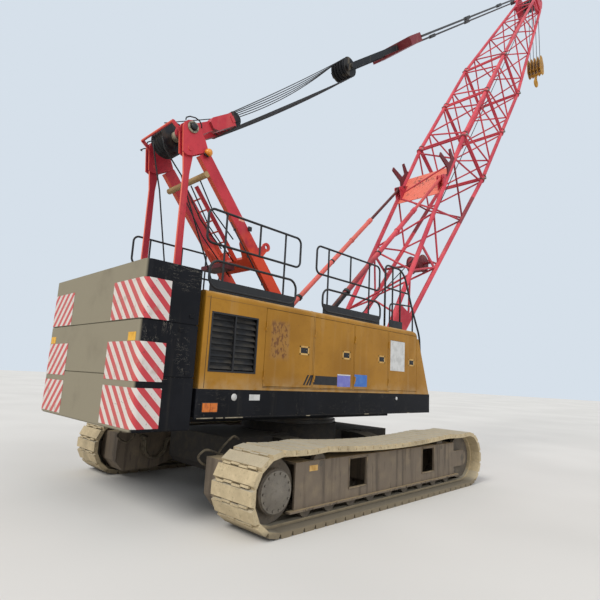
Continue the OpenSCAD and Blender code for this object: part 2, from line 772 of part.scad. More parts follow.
module cab_side(d) {
    polygon([[cab_x0 + d, cab_low + d], [cab_x1 - 120 - d, cab_low + d], [cab_x1 - d, cab_low + 500],
             [cab_x1 - d, cab_low + 700], [cab_x1 - 300 - d, cab_top - d], [cab_x0 + d, cab_top - d]]);
}

module cab() {
    color(ochre) difference() {
        slab_y(cab_y0, cab_y1) cab_side(0);
        slab_y(cab_y0 + cab_wall, cab_y1 - cab_wall) cab_side(cab_wall);
        // doorway
        block([cab_door_x0, cab_y1 - cab_wall - eps, cab_door_low],
              [cab_door_x1, cab_y1 + eps, cab_door_high]);
        // right side window, facing the boom
        block([cab_x0 + 200, cab_y0 - eps, cab_low + 900], [cab_x1 - 620, cab_y0 + cab_wall + eps,
                                                            cab_top - 150]);
        // rear window
        block([cab_x0 - eps, cab_y0 + 150, cab_low + 950], [cab_x0 + cab_wall + eps, cab_y1 - 150,
                                                            cab_top - 170]);
        // roof window
        block([cab_x0 + 700, cab_y0 + 160, cab_top - cab_wall - eps], [cab_x1 - 420, cab_y1 - 160,
                                                                       cab_top + eps]);
        front_window(0, cab_wall + 40);
    }
    color(ochre) for (z = cab_hinge_zs)
        translate([cab_door_x0 + door_gap, cab_y1 + 15, z - 60.3]) {
            cylinder(r = 12, h = 60, $fn = 24);
            translate([-50, -17, 0]) cube([50, 19, 60]);
        }
}

// Opening in the raked front, or its pane when thin
module front_window(inset, depth) {
    a = [cab_x1, cab_low + 700];
    b = [cab_x1 - 300, cab_top];
    v = unit(b - a);
    lo = a + v * (60 + inset);
    hi = b - v * (130 + inset);
    translate([lo[0], 0, lo[1]])
        rotate([0, -atan2(v[1], v[0]), 0])
        translate([0, cab_y0 + 90 + inset, inset > 0 ? 12 : -20])
        cube([norm(hi - lo), cab_y1 - cab_y0 - 180 - 2 * inset, depth]);
}

module cab_glass() {
    color([0.3, 0.4, 0.45, 0.5]) {
        block([cab_x0 + 200, cab_y0 + 15, cab_low + 900], [cab_x1 - 620, cab_y0 + 15 + glass_t,
                                                            cab_top - 150]);
        block([cab_x0 + 15, cab_y0 + 150, cab_low + 950], [cab_x0 + 15 + glass_t, cab_y1 - 150,
                                                           cab_top - 170]);
        block([cab_x0 + 700, cab_y0 + 160, cab_top - 25], [cab_x1 - 420, cab_y1 - 160,
                                                           cab_top - 25 + glass_t]);
        front_window(0.01, glass_t);
    }
}

module cab_seat() {
    color(near_black) {
        block([1700, 1180, cab_low + cab_wall], [2050, 1620, cab_low + 450]);
        slab_y(1180, 1620)
            polygon([[1600, cab_low + 430], [2130, cab_low + 430], [2130, cab_low + 540],
                     [1780, cab_low + 560], [1640, cab_low + 1180], [1520, cab_low + 1160]]);
        for (y = [1080, 1630])
            block([1700, y, cab_low + cab_wall], [2300, y + 90, cab_low + 720]);
        block([2850, 1120, cab_low + cab_wall], [3000, 1680, cab_low + 560]);
    }
}

module cab_door() {
    g = door_gap;
    color(ochre) difference() {
        block([cab_door_x0 + g, cab_y1 - cab_wall, cab_door_low + g],
              [cab_door_x1 - g, cab_y1, cab_door_high - g]);
        block([cab_door_x0 + 110, cab_y1 - cab_wall - eps, cab_door_low + 700],
              [cab_door_x1 - 110, cab_y1 + eps, cab_door_high - 110]);
    }
    color(near_black) {
        block([cab_door_x1 - 70, cab_y1, cab_door_low + 560], [cab_door_x1 - 40, cab_y1 + 45,
                                                                cab_door_low + 760]);
        for (z = cab_hinge_zs)
            translate([cab_door_x0 + g, cab_y1 + 15, z]) {
                cylinder(r = 12, h = 100, $fn = 24);
                translate([0, -17, 0]) cube([40, 19, 100]);
            }
    }
}

module cab_door_glass() {
    color([0.3, 0.4, 0.45, 0.5])
        block([cab_door_x0 + 110, cab_y1 - 35, cab_door_low + 700],
              [cab_door_x1 - 110, cab_y1 - 35 + glass_t, cab_door_high - 110]);
}

// Half depth of the boom over its chord middles at length u, and half its width
tip_d = 620;
tip_w = 900;
tip_from = butt_l + 2 * insert_l;
function half_d(u) = u < butt_l ? (foot_d + (boom_d - foot_d) * u / butt_l) / 2
    : u < tip_from ? boom_d / 2
    : (boom_d + (tip_d - boom_d) * (u - tip_from) / tip_l) / 2;
function half_w(u) = u < tip_from ? boom_w / 2
    : (boom_w + (tip_w - boom_w) * (u - tip_from) / tip_l) / 2;
// Chord point: k counts the chords 0 rear right, 1 rear left, 2 front left, 3 front right
function chord_pt(u, k) = let (
        v = (k < 2 ? 1 : -1) * half_d(u),
        y = (k == 0 || k == 3 ? -1 : 1) * half_w(u),
        p = boom_pt(u, v))
    [p[0], y, p[1]];

// Lattice between u0 and u1 with n panels: four chords and a zigzag on each face
chord_in = 20;
module lattice(u0, u1, n, ends = 124) {
    for (k = [0 : 3])
        strut(chord_pt(u0 + chord_in, k), chord_pt(u1 - chord_in, k), chord_r);
    step = (u1 - u0 - 2 * ends) / n;
    for (k = [0 : 3], i = [0 : n - 1]) {
        a = u0 + ends + i * step;
        up = (i + k) % 2 == 0;
        strut(chord_pt(a + 70, up ? k : (k + 1) % 4), chord_pt(a + step - 70, up ? (k + 1) % 4 : k),
              lace_r, 24);
    }
    for (u = [u0 + ends / 2, u1 - ends / 2], k = [0 : 3])
        strut(chord_pt(u, k), chord_pt(u, (k + 1) % 4), lace_r + 6, 24);
}

// Pin collars at a section's end: they start at u and run len along the boom, square to its joint
module collars(u, len) {
    for (k = [0 : 3])
        strut(chord_pt(u, k), chord_pt(u, k) + len * [along[0], 0, along[1]], chord_r + 18);
}

module boom_butt() {
    color(red) {
        lattice(700, butt_l - fit, 7);
        collars(butt_l - fit, -150);
        // foot: side plates from the pin boss up to the chords
        for (y = [-1, 1]) {
            difference() {
                union() {
                    slab_y(y * foot_y - 60, y * foot_y + 60) {
                        translate(foot) circle(r = 140, $fn = 64);
                        polygon([boom_pt(0, 139), boom_pt(1000, half_d(1000) + 60),
                                 boom_pt(1250, 0), boom_pt(1000, -half_d(1000) - 60),
                                 boom_pt(0, -139)]);
                    }
                    bar_y(foot[0], foot[1], y * foot_y - 70, y * foot_y + 70, 120);
                }
                bar_y(foot[0], foot[1], y * foot_y - 80, y * foot_y + 80, pin_r + run);
            }
            // clevis for the backstop's head, with its pin
            bar_y(backstop_eye[0], backstop_eye[1], y * backstop_y - 115, y * backstop_y + 115, stop_pin);
            for (d = [70, -100])
                slab_y(y * backstop_y + d, y * backstop_y + d + 30) {
                    translate(backstop_eye) circle(r = 90, $fn = 48);
                    polygon([backstop_eye + 88 * across, boom_pt(butt_eye_u + 420, plate_v + 420 * slope),
                             boom_pt(butt_eye_u - 300, plate_v - 300 * slope),
                             backstop_eye - 88 * along]);
                }
            // forked bracket on the rear chord, above the clevis
            slab_y(y * fork_y - 20, y * fork_y + 20)
                polygon([boom_pt(butt_eye_u + 200, plate_v + 200 * slope),
                         boom_pt(butt_eye_u + 430, 900), boom_pt(butt_eye_u + 330, 1400),
                         boom_pt(butt_eye_u + 460, 1430), boom_pt(butt_eye_u + 640, 930),
                         boom_pt(butt_eye_u + 860, 910), boom_pt(butt_eye_u + 1010, 1180),
                         boom_pt(butt_eye_u + 1110, 1150), boom_pt(butt_eye_u + 1050, 880),
                         boom_pt(butt_eye_u + 1150, plate_v + 1150 * slope)]);
        }
        // side bars that carry the guide roller's axle
        for (y = [-boom_w / 2 - 15, boom_w / 2 - 15])
            beam(boom_pt(guide_u, half_d(guide_u)), boom_pt(guide_u, -half_d(guide_u)), 80, y, y + 30);
        // plate between the rear chords
        beam(boom_pt(butt_eye_u - 420, plate_v - 420 * slope), boom_pt(butt_eye_u + 800, plate_v + 800 * slope),
             16, -boom_w / 2, boom_w / 2);
    }
}
fork_y = 805;
// Place of the clevis along the boom, the plate's level there, and the chords' slope
butt_eye_u = (backstop_eye - foot) * along;
plate_v = half_d(butt_eye_u) - 15;
slope = (boom_d - foot_d) / 2 / butt_l;
guide_u = 4170;
guide_v = -195;

module boom_insert(i) {
    u0 = butt_l + i * insert_l;
    color(red) {
        lattice(u0, u0 + insert_l - fit, 3);
        collars(u0, 150);
        collars(u0 + insert_l - fit, -150);
    }
}

head_axle = [boom_l - 150, -120];
head_y = tip_w / 2 + 10;
jib_hole = [boom_l - 600, -250];
jib_r = 40;
module boom_tip() {
    color(red) {
        lattice(tip_from, boom_l - 900, 7);
        collars(tip_from, 150);
        for (y = [-1, 1]) {
            y0 = y > 0 ? head_y - 100 : -head_y;
            difference() {
                slab_y(y0, y0 + 100)
                    polygon([boom_pt(boom_l - 1250, half_d(boom_l - 1250)),
                             boom_pt(boom_l - 500, pendant_v + 120), boom_pt(boom_l - 200, pendant_v + 120),
                             boom_pt(boom_l + 60, 100), boom_pt(boom_l + 60, -300),
                             boom_pt(boom_l - 300, -450), boom_pt(boom_l - 1250, -half_d(boom_l - 1250))]);
                bar_y(boom_pt(head_axle[0], head_axle[1])[0], boom_pt(head_axle[0], head_axle[1])[1],
                      y0 - eps, y0 + 101, 60 + fit);
                bar_y(boom_pt(jib_hole[0], jib_hole[1])[0], boom_pt(jib_hole[0], jib_hole[1])[1],
                      y0 - eps, y0 + 101, jib_r);
            }
        }
        // shaft between the pendants' eyes, outside the head plates
        bar_y(pendant_end[0], pendant_end[1], -pendant_y + 45 + run, pendant_y - 45 - run, 55);
    }
}

module sheave(x, z, y, r) {
    translate([x, y, z]) rotate([90, 0, 0]) rotate_extrude($fn = 72)
        polygon([[55, -38], [110, -38], [110, -18], [r - 45, -18], [r, -32], [r, -28], [r - 26, 0],
                 [r, 28], [r, 32], [r - 45, 18], [110, 18], [110, 38], [55, 38]]);
}

module boom_sheaves() {
    a = boom_pt(head_axle[0], head_axle[1]);
    g = boom_pt(guide_u, guide_v);
    color(rope_grey) {
        for (y = [-228, -76, 76, 228])
            sheave(a[0], a[1], y, sheave_r);
        bar_y(a[0], a[1], -head_y, head_y, 60);
    }
    // guide roller of the hoist rope, inside the lower section
    color(red) {
        bar_y(g[0], g[1], -540, -160, 220);
        bar_y(g[0], g[1], -boom_w / 2 + 15, boom_w / 2 - 15, 35);
    }
}

// Parts of the boom's suspension lie along the straight line from the gantry to the boom head
function line_pt(s, v = 0) = head + s * line + v * [-line[1], line[0]];
spread_y = 300;
pendant_y = 665;

// The lower spreader hangs a little below the line of the pendants
hang_drop = 5;
hang = [cos(line_angle - hang_drop), sin(line_angle - hang_drop)];
function hang_pt(s, v = 0) = head + s * hang + v * [-hang[1], hang[0]];

module lower_spreader() {
    color(red) {
        for (y = [-1, 1])
            difference() {
                union() {
                    slab_y(y * spread_y - 28, y * spread_y + 28) {
                        translate(hang_pt(0)) circle(r = 125, $fn = 48);
                        polygon([hang_pt(0, 124), hang_pt(720, 80), hang_pt(720, -80),
                                 hang_pt(0, -124)]);
                    }
                    slab_y(y * spread_y - 85, y * spread_y + 85)
                        polygon([hang_pt(640, 60), hang_pt(730, 118), hang_pt(1190, 118),
                                 hang_pt(1190, -118), hang_pt(730, -118), hang_pt(640, -60)]);
                }
                bar_y(head[0], head[1], y * spread_y - 90, y * spread_y + 90, shaft_r + run);
            }
        bar_y(hang_pt(780)[0], hang_pt(780)[1], -spread_y, spread_y, 60);
    }
    // sheaves between the blocks' front ends
    a = hang_pt(1235);
    color(rope_grey) {
        for (y = [-340, -255, -170, -85, 0, 85, 170, 255, 340])
            translate([a[0], y, a[1]]) rotate([90, 0, 0]) rotate_extrude($fn = 48)
                polygon([[0, -43], [50, -43], [50, -30], [140, -30], [115, 0], [140, 30], [50, 30],
                         [50, 43], [0, 43]]);
    }
    color(near_black) for (y = [-1, 1])
        beam(hang_pt(1130), hang_pt(1305), 120, y > 0 ? 383 : -398, y > 0 ? 398 : -383);
}

module upper_spreader() {
    a = line_pt(5900);
    color(rope_grey) for (y = [-170, -85, 0, 85, 170])
        translate([a[0], y, a[1]]) rotate([90, 0, 0]) rotate_extrude($fn = 64)
            polygon([[0, -43], [60, -43], [60, -32], [250, -32], [220, 0], [250, 32], [60, 32], [60, 43],
                     [0, 43]]);
    color(near_black) {
        for (y = [-255, 225])
            beam(line_pt(5750), line_pt(8700), 150, y, y + 30, 40);
        bar_y(a[0], a[1], -300, 300, 60);
    }
    color(red) {
        beam(line_pt(8650), line_pt(9400), 240, -pendant_y, pendant_y);
    }
}

module pendants() {
    color(rope_grey) for (y = [-pendant_y, pendant_y]) {
        strut([line_pt(9400 + fit)[0], y, line_pt(9400 + fit)[1]],
              [line_pt(line_l - 120)[0], y, line_pt(line_l - 120)[1]], 32, 24);
        for (s = [9400 + 3800, 9400 + 7600])
            beam(line_pt(s), line_pt(s + 420), 110, y - 45, y + 45);
        difference() {
            beam(line_pt(line_l - 420), line_pt(line_l + 110), 170, y - 45, y + 45);
            bar_y(pendant_end[0], pendant_end[1], y - 50, y + 50, 55);
        }
    }
}

function stop_pt(s) = backstop_foot + s * unit(backstop_eye - backstop_foot);
module stop_strut(y, s0, s1, r) {
    strut([stop_pt(s0)[0], y, stop_pt(s0)[1]], [stop_pt(s1)[0], y, stop_pt(s1)[1]], r);
}

stop_tube_l = 5300;
stop_rod_r = 42;
stop_ring = 4100;
// Lower half of a backstop: a tube that slides on the rod, with its foot between the ears on the girder
module backstop_tubes() {
    color(red) for (y = [-backstop_y, backstop_y]) {
        difference() {
            union() {
                stop_strut(y, 60, stop_tube_l, 60);
                stop_strut(y, stop_tube_l - 160, stop_tube_l - 1, 68);
                stop_strut(y, stop_ring, stop_ring + 50, 72);
            }
            stop_strut(y, 2000, stop_tube_l + 10, stop_rod_r + run);
        }
        slab_y(y - stop_ear + stop_gap, y + stop_ear - stop_gap)
            translate(backstop_foot) circle(r = 85, $fn = 48);
    }
}

// Upper half of a backstop: a rod inside the tube, with its eye on the clevis pin of the boom
module backstop_rods() {
    color(near_black) for (y = [-backstop_y, backstop_y]) {
        stop_strut(y, 3300, backstop_l - 60, stop_rod_r);
        difference() {
            slab_y(y - 50, y + 50) translate(backstop_eye) circle(r = 85, $fn = 48);
            bar_y(backstop_eye[0], backstop_eye[1], y - 51, y + 51, stop_pin + run);
        }
    }
}

// Hook block hanging plumb from the head sheaves
fall_x = boom_pt(head_axle[0], head_axle[1])[0] + sheave_r - 7.5;
fall_z = boom_pt(head_axle[0], head_axle[1])[1];
block_z = fall_z - fall_l;
fall_ys = [-228, -76, 76, 228];
module hoist_falls() {
    low = block_z - 260 + fit;
    color(rope_grey) for (y = fall_ys)
        translate([fall_x, y, low]) cylinder(r = 13, h = fall_z - low, $fn = 16);
}

module hook_block() {
    color(ochre) for (y = [-300, -152, 0, 152, 300])
        slab_y(y - 12, y + 12)
            translate([fall_x, block_z])
            polygon([[-100, 300], [100, 300], [280, -40], [280, -520], [80, -720], [-80, -720],
                     [-280, -520], [-280, -40]]);
    color(steel) {
        for (z = [-320, -620])
            bar_y(fall_x, block_z + z, -330, 330, 60);
        translate([fall_x, 0, block_z - 900]) cylinder(r = 60, h = 300, $fn = 48);
        // hook bowl
        translate([fall_x, 0, block_z - 1080]) rotate([90, 0, 0]) rotate([0, 0, -220])
            rotate_extrude(angle = 310, $fn = 64) translate([160, 0]) circle(r = 52, $fn = 24);
    }
}

car_body();
slew_ring();
side_frame(-1);  // right_side_frame
side_frame(1);  // left_side_frame
track(-1);  // right_track
track(1);  // left_track
wheels(-1);  // right_wheels
wheels(1);  // left_wheels
car_body_weights();
travel_hoses();
turntable();
deck(-1);  // right_deck
deck(1);  // left_deck
house(-1);  // right_house
house(1);  // left_house
louvres();
engine();
counterweight(0);  // counterweight_base
counterweight(1);  // counterweight_middle
counterweight(2);  // counterweight_top
winch_drums();
gantry_front_legs();
gantry_rear_struts();
gantry_sheaves();
roof_rails();
cab();
cab_glass();
cab_seat();
cab_door();
cab_door_glass();
house_door(-1, 0);  // right_door_1
house_door(-1, 1);  // right_door_2
house_door(-1, 2);  // right_door_3
house_door(-1, 3);  // right_door_4
house_door(1, 0);  // left_door_1
house_door(1, 1);  // left_door_2
boom_butt();
boom_insert(0);  // boom_insert_1
boom_insert(1);  // boom_insert_2
boom_tip();
boom_sheaves();
lower_spreader();
upper_spreader();
pendants();
backstop_rods();
backstop_tubes();
hoist_falls();
hook_block();
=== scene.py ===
# Looks for the crawler crane: materials, ropes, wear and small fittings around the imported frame.
# X points forward, Y to the left and Z up, in metres, as in the frame.
import math

import bmesh
import bpy
from mathutils import Matrix, Vector


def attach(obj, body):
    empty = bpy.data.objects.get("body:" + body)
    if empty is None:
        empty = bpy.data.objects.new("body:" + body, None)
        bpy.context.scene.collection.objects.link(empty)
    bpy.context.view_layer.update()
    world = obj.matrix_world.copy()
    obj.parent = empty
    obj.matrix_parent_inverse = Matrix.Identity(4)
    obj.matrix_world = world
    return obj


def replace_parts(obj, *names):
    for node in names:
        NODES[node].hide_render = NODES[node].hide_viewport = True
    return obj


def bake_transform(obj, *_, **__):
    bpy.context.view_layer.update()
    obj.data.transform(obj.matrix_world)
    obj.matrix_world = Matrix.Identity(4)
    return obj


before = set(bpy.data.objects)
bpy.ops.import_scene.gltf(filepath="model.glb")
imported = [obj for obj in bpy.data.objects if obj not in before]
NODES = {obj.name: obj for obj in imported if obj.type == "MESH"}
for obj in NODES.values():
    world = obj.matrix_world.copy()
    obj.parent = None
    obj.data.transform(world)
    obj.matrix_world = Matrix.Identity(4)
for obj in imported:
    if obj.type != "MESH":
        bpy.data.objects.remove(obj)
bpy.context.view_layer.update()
scene = bpy.context.scene


# Places that part.scad sets, in metres

def xz(angle):
    return Vector((math.cos(angle), 0, math.sin(angle)))


def across(along):
    return Vector((-along.z, 0, along.x))


BOOM_ANGLE = math.radians(54.35)
FOOT = Vector((1.8, 0, 2.0))
ALONG = xz(BOOM_ANGLE)
ACROSS = across(ALONG)
BOOM_L = 24.4
BOOM_HALF_D, BOOM_HALF_W = 0.85, 0.78
# the lower section's half depth at its foot, and how much it grows with each metre
FOOT_HALF_D, TAPER = 0.13, 0.0787
HEAD = Vector((-3.21, 0, 5.94))
SIDE = 1.6
ROOF_Z = 3.11
LEG_FOOT = Vector((0.225, 0, 1.95))
LEG_UP = Vector((-0.6557, 0, 0.7551))


def place(origin, along, s, n, y):
    """A point s along a direction and n across it in the XZ plane, and y to the left."""
    return origin + along * s + across(along) * n + Vector((0, y, 0))


def boom_pt(u, v, y=0.0):
    return place(FOOT, ALONG, u, v, y)


def leg_pt(s, n, y):
    return place(LEG_FOOT, LEG_UP, s, n, y)


LINE = (boom_pt(BOOM_L - 0.35, 0.45) - HEAD).normalized()
HANG = xz(math.atan2(LINE.z, LINE.x) - math.radians(5))


def line_pt(s, v=0.0, y=0.0):
    """A point on the line of the pendants."""
    return place(HEAD, LINE, s, v, y)


def hang_pt(s, v=0.0, y=0.0):
    """A point on the lower spreader, which hangs below that line."""
    return place(HEAD, HANG, s, v, y)


# Materials, with colours written as they show, from 0 to 255

def rgb(r, g, b):
    """A colour as the shader takes it."""
    out = []
    for c in (r / 255, g / 255, b / 255):
        out.append(((c + 0.055) / 1.055) ** 2.4 if c > 0.04 else c / 12.92)
    return (*out, 1.0)


DUST = (190, 172, 140)
RUST = (104, 62, 38)


class Surface:
    """A Principled material that is built up in layers, in the frame's metres."""

    def __init__(self, name, base, rough=0.5, metal=0.0, shine=0.5):
        self.mat = bpy.data.materials.new(name)
        self.mat.use_nodes = True
        self.tree = self.mat.node_tree
        self.tree.nodes.clear()
        out = self.new("ShaderNodeOutputMaterial")
        self.bsdf = self.new("ShaderNodeBsdfPrincipled")
        self.link(self.bsdf.outputs[0], out.inputs[0])
        self.coord = self.new("ShaderNodeTexCoord").outputs["Object"]
        self.colour = rgb(*base)
        self.rough = rough
        self.set(self.bsdf, **{"Base Color": self.colour, "Roughness": rough, "Metallic": metal,
                               "Specular IOR Level": shine})

    def new(self, kind):
        return self.tree.nodes.new(kind)

    def link(self, a, b):
        self.tree.links.new(a, b)

    def set(self, node, **values):
        for name, value in values.items():
            node.inputs[name].default_value = value

    def feed(self, source, target):
        """Links a socket, or writes a plain value."""
        if isinstance(source, bpy.types.NodeSocket):
            self.link(source, target)
        else:
            target.default_value = source

    def split(self, vector, which):
        s = self.new("ShaderNodeSeparateXYZ")
        self.link(vector, s.inputs[0])
        return s.outputs[which]

    def noise(self, scale, detail=4, stretch=None, rough=0.55):
        n = self.new("ShaderNodeTexNoise")
        where = self.coord
        if stretch:
            m = self.new("ShaderNodeMapping")
            self.link(where, m.inputs["Vector"])
            self.set(m, Scale=stretch)
            where = m.outputs[0]
        self.link(where, n.inputs["Vector"])
        self.set(n, Scale=scale, Detail=detail, Roughness=rough)
        return n.outputs["Fac"]

    def spots(self, scale, detail, low, high, stretch=None, rough=0.55):
        """Noise that is 0 below low and 1 above high."""
        return self.between(self.noise(scale, detail, stretch, rough), low, high)

    def wave(self, scale, distortion, direction="X"):
        w = self.new("ShaderNodeTexWave")
        w.bands_direction = direction
        self.link(self.coord, w.inputs["Vector"])
        self.set(w, Scale=scale, Distortion=distortion)
        return w.outputs["Fac"]

    def axis(self, which):
        return self.split(self.coord, which)

    def up(self):
        return self.split(self.new("ShaderNodeNewGeometry").outputs["Normal"], 2)

    def facing(self, which, low, high):
        """How far a face of the resting model looks along X, Y or Z."""
        normal = self.new("ShaderNodeTexCoord").outputs["Normal"]
        return self.between(self.split(normal, which), low, high)

    def vector(self, op, a, b):
        v = self.new("ShaderNodeVectorMath")
        v.operation = op
        self.link(a, v.inputs[0])
        v.inputs[1].default_value = tuple(b)
        return v.outputs

    def along(self, direction, origin):
        """Distance from a place, measured along a direction."""
        away = self.vector("SUBTRACT", self.coord, origin)[0]
        return self.vector("DOT_PRODUCT", away, direction)["Value"]

    def between(self, value, low, high):
        r = self.new("ShaderNodeMapRange")
        r.interpolation_type = "SMOOTHSTEP"
        self.link(value, r.inputs["Value"])
        self.set(r, **{"From Min": low, "From Max": high})
        return r.outputs[0]

    def window(self, value, low, high, soft=0.01):
        """1 between low and high, 0 outside, with soft edges."""
        return self.times(self.between(value, low - soft / 2, low + soft / 2),
                          self.between(value, high + soft / 2, high - soft / 2))

    def math(self, op, a, b=None):
        m = self.new("ShaderNodeMath")
        m.operation = op
        self.feed(a, m.inputs[0])
        if b is not None:
            self.feed(b, m.inputs[1])
        return m.outputs[0]

    def times(self, first, *others):
        for value in others:
            first = self.math("MULTIPLY", first, value)
        return first

    def mix(self, kind, fac, ends, below, above):
        m = self.new("ShaderNodeMix")
        m.data_type = kind
        self.link(fac, m.inputs[0])
        self.feed(below, m.inputs[ends])
        m.inputs[ends + 1].default_value = above
        return m.outputs[0 if kind == "FLOAT" else 2]

    def layer(self, colour, rough, *factors):
        """Lays a colour, and a roughness unless it is None, over what is there; the factors multiply."""
        fac = self.times(*factors)
        self.colour = self.mix("RGBA", fac, 6, self.colour, rgb(*colour))
        if rough is not None:
            self.rough = self.mix("FLOAT", fac, 2, self.rough, rough)

    def film(self, share, scale=3, detail=5, low=0.25, high=0.7, colour=DUST):
        """Dust on what faces up."""
        above = self.between(self.up(), 0.3, 0.95)
        self.layer(colour, 0.9, above, self.spots(scale, detail, low, high), share)

    def done(self, height=None, strength=0.3, depth=0.002):
        """Closes the material, with a bump where a height is given."""
        if height:
            b = self.new("ShaderNodeBump")
            self.link(height, b.inputs["Height"])
            self.set(b, Strength=strength, Distance=depth)
            self.link(b.outputs[0], self.bsdf.inputs["Normal"])
        self.feed(self.colour, self.bsdf.inputs["Base Color"])
        self.feed(self.rough, self.bsdf.inputs["Roughness"])
        return self.mat


def paint(name, base, shade, rough=0.42, dusty=0.4, streaky=0.35, chips=0.3, dust=DUST, chip=RUST,
          splash=0.0, more=None):
    """Weathered paint: uneven fading, dusty runs, dust on what faces up, and chips down to rust."""
    s = Surface(name, base, rough, shine=0.25)
    s.layer(shade, rough + 0.12, s.spots(0.9, 5, 0.38, 0.66))
    s.layer(shade, None, s.spots(9, 6, 0.5, 0.75), 0.5)
    if more:
        more(s)
    s.layer(dust, 0.8, s.spots(7, 4, 0.52, 0.78, (1, 1, 0.07)), streaky)
    s.film(dusty, colour=dust)
    if splash:
        # dust thrown up from the deck
        s.layer(dust, 0.9, s.between(s.axis(2), 2.0, 1.76), s.spots(5, 6, 0.3, 0.65), splash)
    s.layer(chip, 0.8, s.spots(21, 7, 0.66, 0.7, None, 0.62), s.spots(1.7, 2, 0.5, 0.62), min(1, chips * 2.5))
    return s.done(s.noise(55, 4), 0.25, 0.0015)


def rubbed(s):
    """The patch of the first door where old lettering was rubbed off."""
    patch = s.times(s.window(s.axis(0), -2.07, -1.68, 0.09), s.window(s.axis(2), 2.24, 2.82, 0.1))
    s.layer((150, 112, 66), None, patch, 0.5)
    s.layer((112, 74, 44), 0.7, patch, s.spots(19, 8, 0.5, 0.58, (1, 1, 0.6), 0.65))


def strut_rear_light(s):
    """Faces that look to the rear are painted lighter, as painted sunlight."""
    s.layer((228, 112, 88), 0.5, s.facing(0, -0.35, -0.75), 0.9)


def gantry_marks_and_rear_light(s):
    """Rear faces painted lighter as painted sunlight, a brighter portal plate and leg ends, and the bare
    upper cross tube.
    """
    # painted sunlight: faces that look to the rear are lighter
    s.layer((224, 96, 66), 0.5, s.facing(0, -0.35, -0.75), 0.8)
    up = s.along(LEG_UP, LEG_FOOT)
    s.layer((218, 74, 44), 0.45, s.window(up, 0.4, 3.3, 0.25), s.spots(2.2, 3, 0.25, 0.5))
    above = s.along(across(LEG_UP), LEG_FOOT)
    s.layer((168, 140, 98), 0.8, s.window(up, 4.445, 4.575, 0.004), s.between(above, 0.112, 0.118))


def boom_marks_and_lacing_shade(s):
    """Salmon plate and dark red forked brackets of the lower boom section, and painted shade that darkens its
    lacing.
    """
    u = s.along(ALONG, FOOT)
    v = s.along(ACROSS, FOOT)
    wide = s.math("ABSOLUTE", s.axis(1))
    chord = s.math("ADD", s.times(u, TAPER), FOOT_HALF_D)
    over = s.math("SUBTRACT", v, chord)
    off = s.math("ABSOLUTE", s.math("SUBTRACT", s.math("ABSOLUTE", v), chord))
    lacing = s.math("MAXIMUM", s.between(off, 0.066, 0.074), s.between(wide, 0.716, 0.708))
    # painted shade: the lacing is darker than the chords
    s.layer((170, 48, 62), None, lacing, 0.45)
    plate = s.times(s.window(u, 6.33, 7.55, 0.004), s.window(over, -0.032, -0.003, 0.003),
                    s.between(wide, 0.722, 0.716))
    s.layer((226, 116, 96), 0.5, plate)
    s.layer((74, 54, 60), 0.7, plate, s.window(u, 6.95, 7.4, 0.12), s.window(s.axis(1), -0.15, 0.35, 0.15),
            s.spots(16, 7, 0.52, 0.58, None, 0.6))
    s.layer((150, 86, 70), 0.7, plate, s.spots(7, 6, 0.56, 0.7, (0.3, 1, 1)))
    s.layer((104, 38, 44), 0.55, s.between(over, 0.066, 0.07), s.window(u, 6.9, 8.2, 0.02))
    s.layer((132, 44, 54), 0.5, s.between(over, -0.03, -0.07), s.window(u, 6.4, 7.9, 0.01),
            s.between(wide, 0.6, 0.61))


def spreader_marks(s):
    """Black sheave guards at the front end of the lower spreader, and darker patches on its underside."""
    s.layer((24, 24, 27), 0.5, s.between(s.along(HANG, HEAD), 1.193, 1.199))
    s.layer((84, 44, 46), 0.6, s.facing(2, -0.3, -0.8), s.spots(6, 5, 0.35, 0.6))


def link_marks(s):
    """The red head of the upper spreader."""
    s.layer((122, 42, 48), 0.5, s.between(s.along(LINE, HEAD), 8.62, 8.66))


def stop_marks(s):
    """Near tube: black low end and oil above it; the far one has faded."""
    near = s.between(s.axis(1), 0.1, -0.1)
    s.layer((142, 52, 60), 0.5, near, s.between(s.axis(2), 4.95, 4.75))
    s.layer((30, 28, 30), 0.5, near, s.between(s.axis(2), 3.86, 3.84))
    s.layer((222, 120, 104), 0.6, s.between(s.axis(1), -0.1, 0.1), 0.6)


def rod_marks(s):
    """The far rod is darker."""
    s.layer((74, 34, 36), 0.5, s.between(s.axis(1), -0.1, 0.1))


def roller_marks(s):
    """The guide roller is red; the head sheaves above it are bare."""
    low = s.between(s.axis(2), 9.1, 9.0)
    s.layer((142, 46, 56), 0.55, low)
    s.layer((84, 30, 38), 0.7, low, s.spots(11, 6, 0.5, 0.62))


def scratched_black(name, streaky, scratches, rear=0.0):
    """Black paint with fine scratches, and where asked beige painted sunlight on the faces that look to the
    rear.
    """
    s = Surface(name, (11, 12, 17), 0.5, shine=0.15)
    s.layer((22, 23, 28), 0.6, s.spots(1.3, 6, 0.4, 0.68))
    s.layer((62, 58, 52), 0.8, s.spots(9, 4, 0.6, 0.8, (1, 1, 0.06)), streaky)
    for k, turn in enumerate(((1, 1, 9), (7, 7, 1), (2, 9, 4))):
        thin = s.noise(4 + k, 4, turn)
        s.layer((150, 144, 132), 0.8, s.between(thin, 0.565, 0.572), s.between(thin, 0.58, 0.573),
                s.spots(1.4 + 0.5 * k, 2, 0.54, 0.66), scratches)
    if rear:
        # painted sunlight: beige, mottled, on the faces that look to the rear
        back = s.facing(0, -0.6, -0.95)
        s.layer((150, 142, 122), 0.9, back, rear)
        s.layer((112, 104, 90), 0.9, back, s.spots(1.6, 6, 0.5, 0.8), 0.5)
    s.film(0.6, low=0.2)
    return s.done(s.noise(40, 5), 0.25)


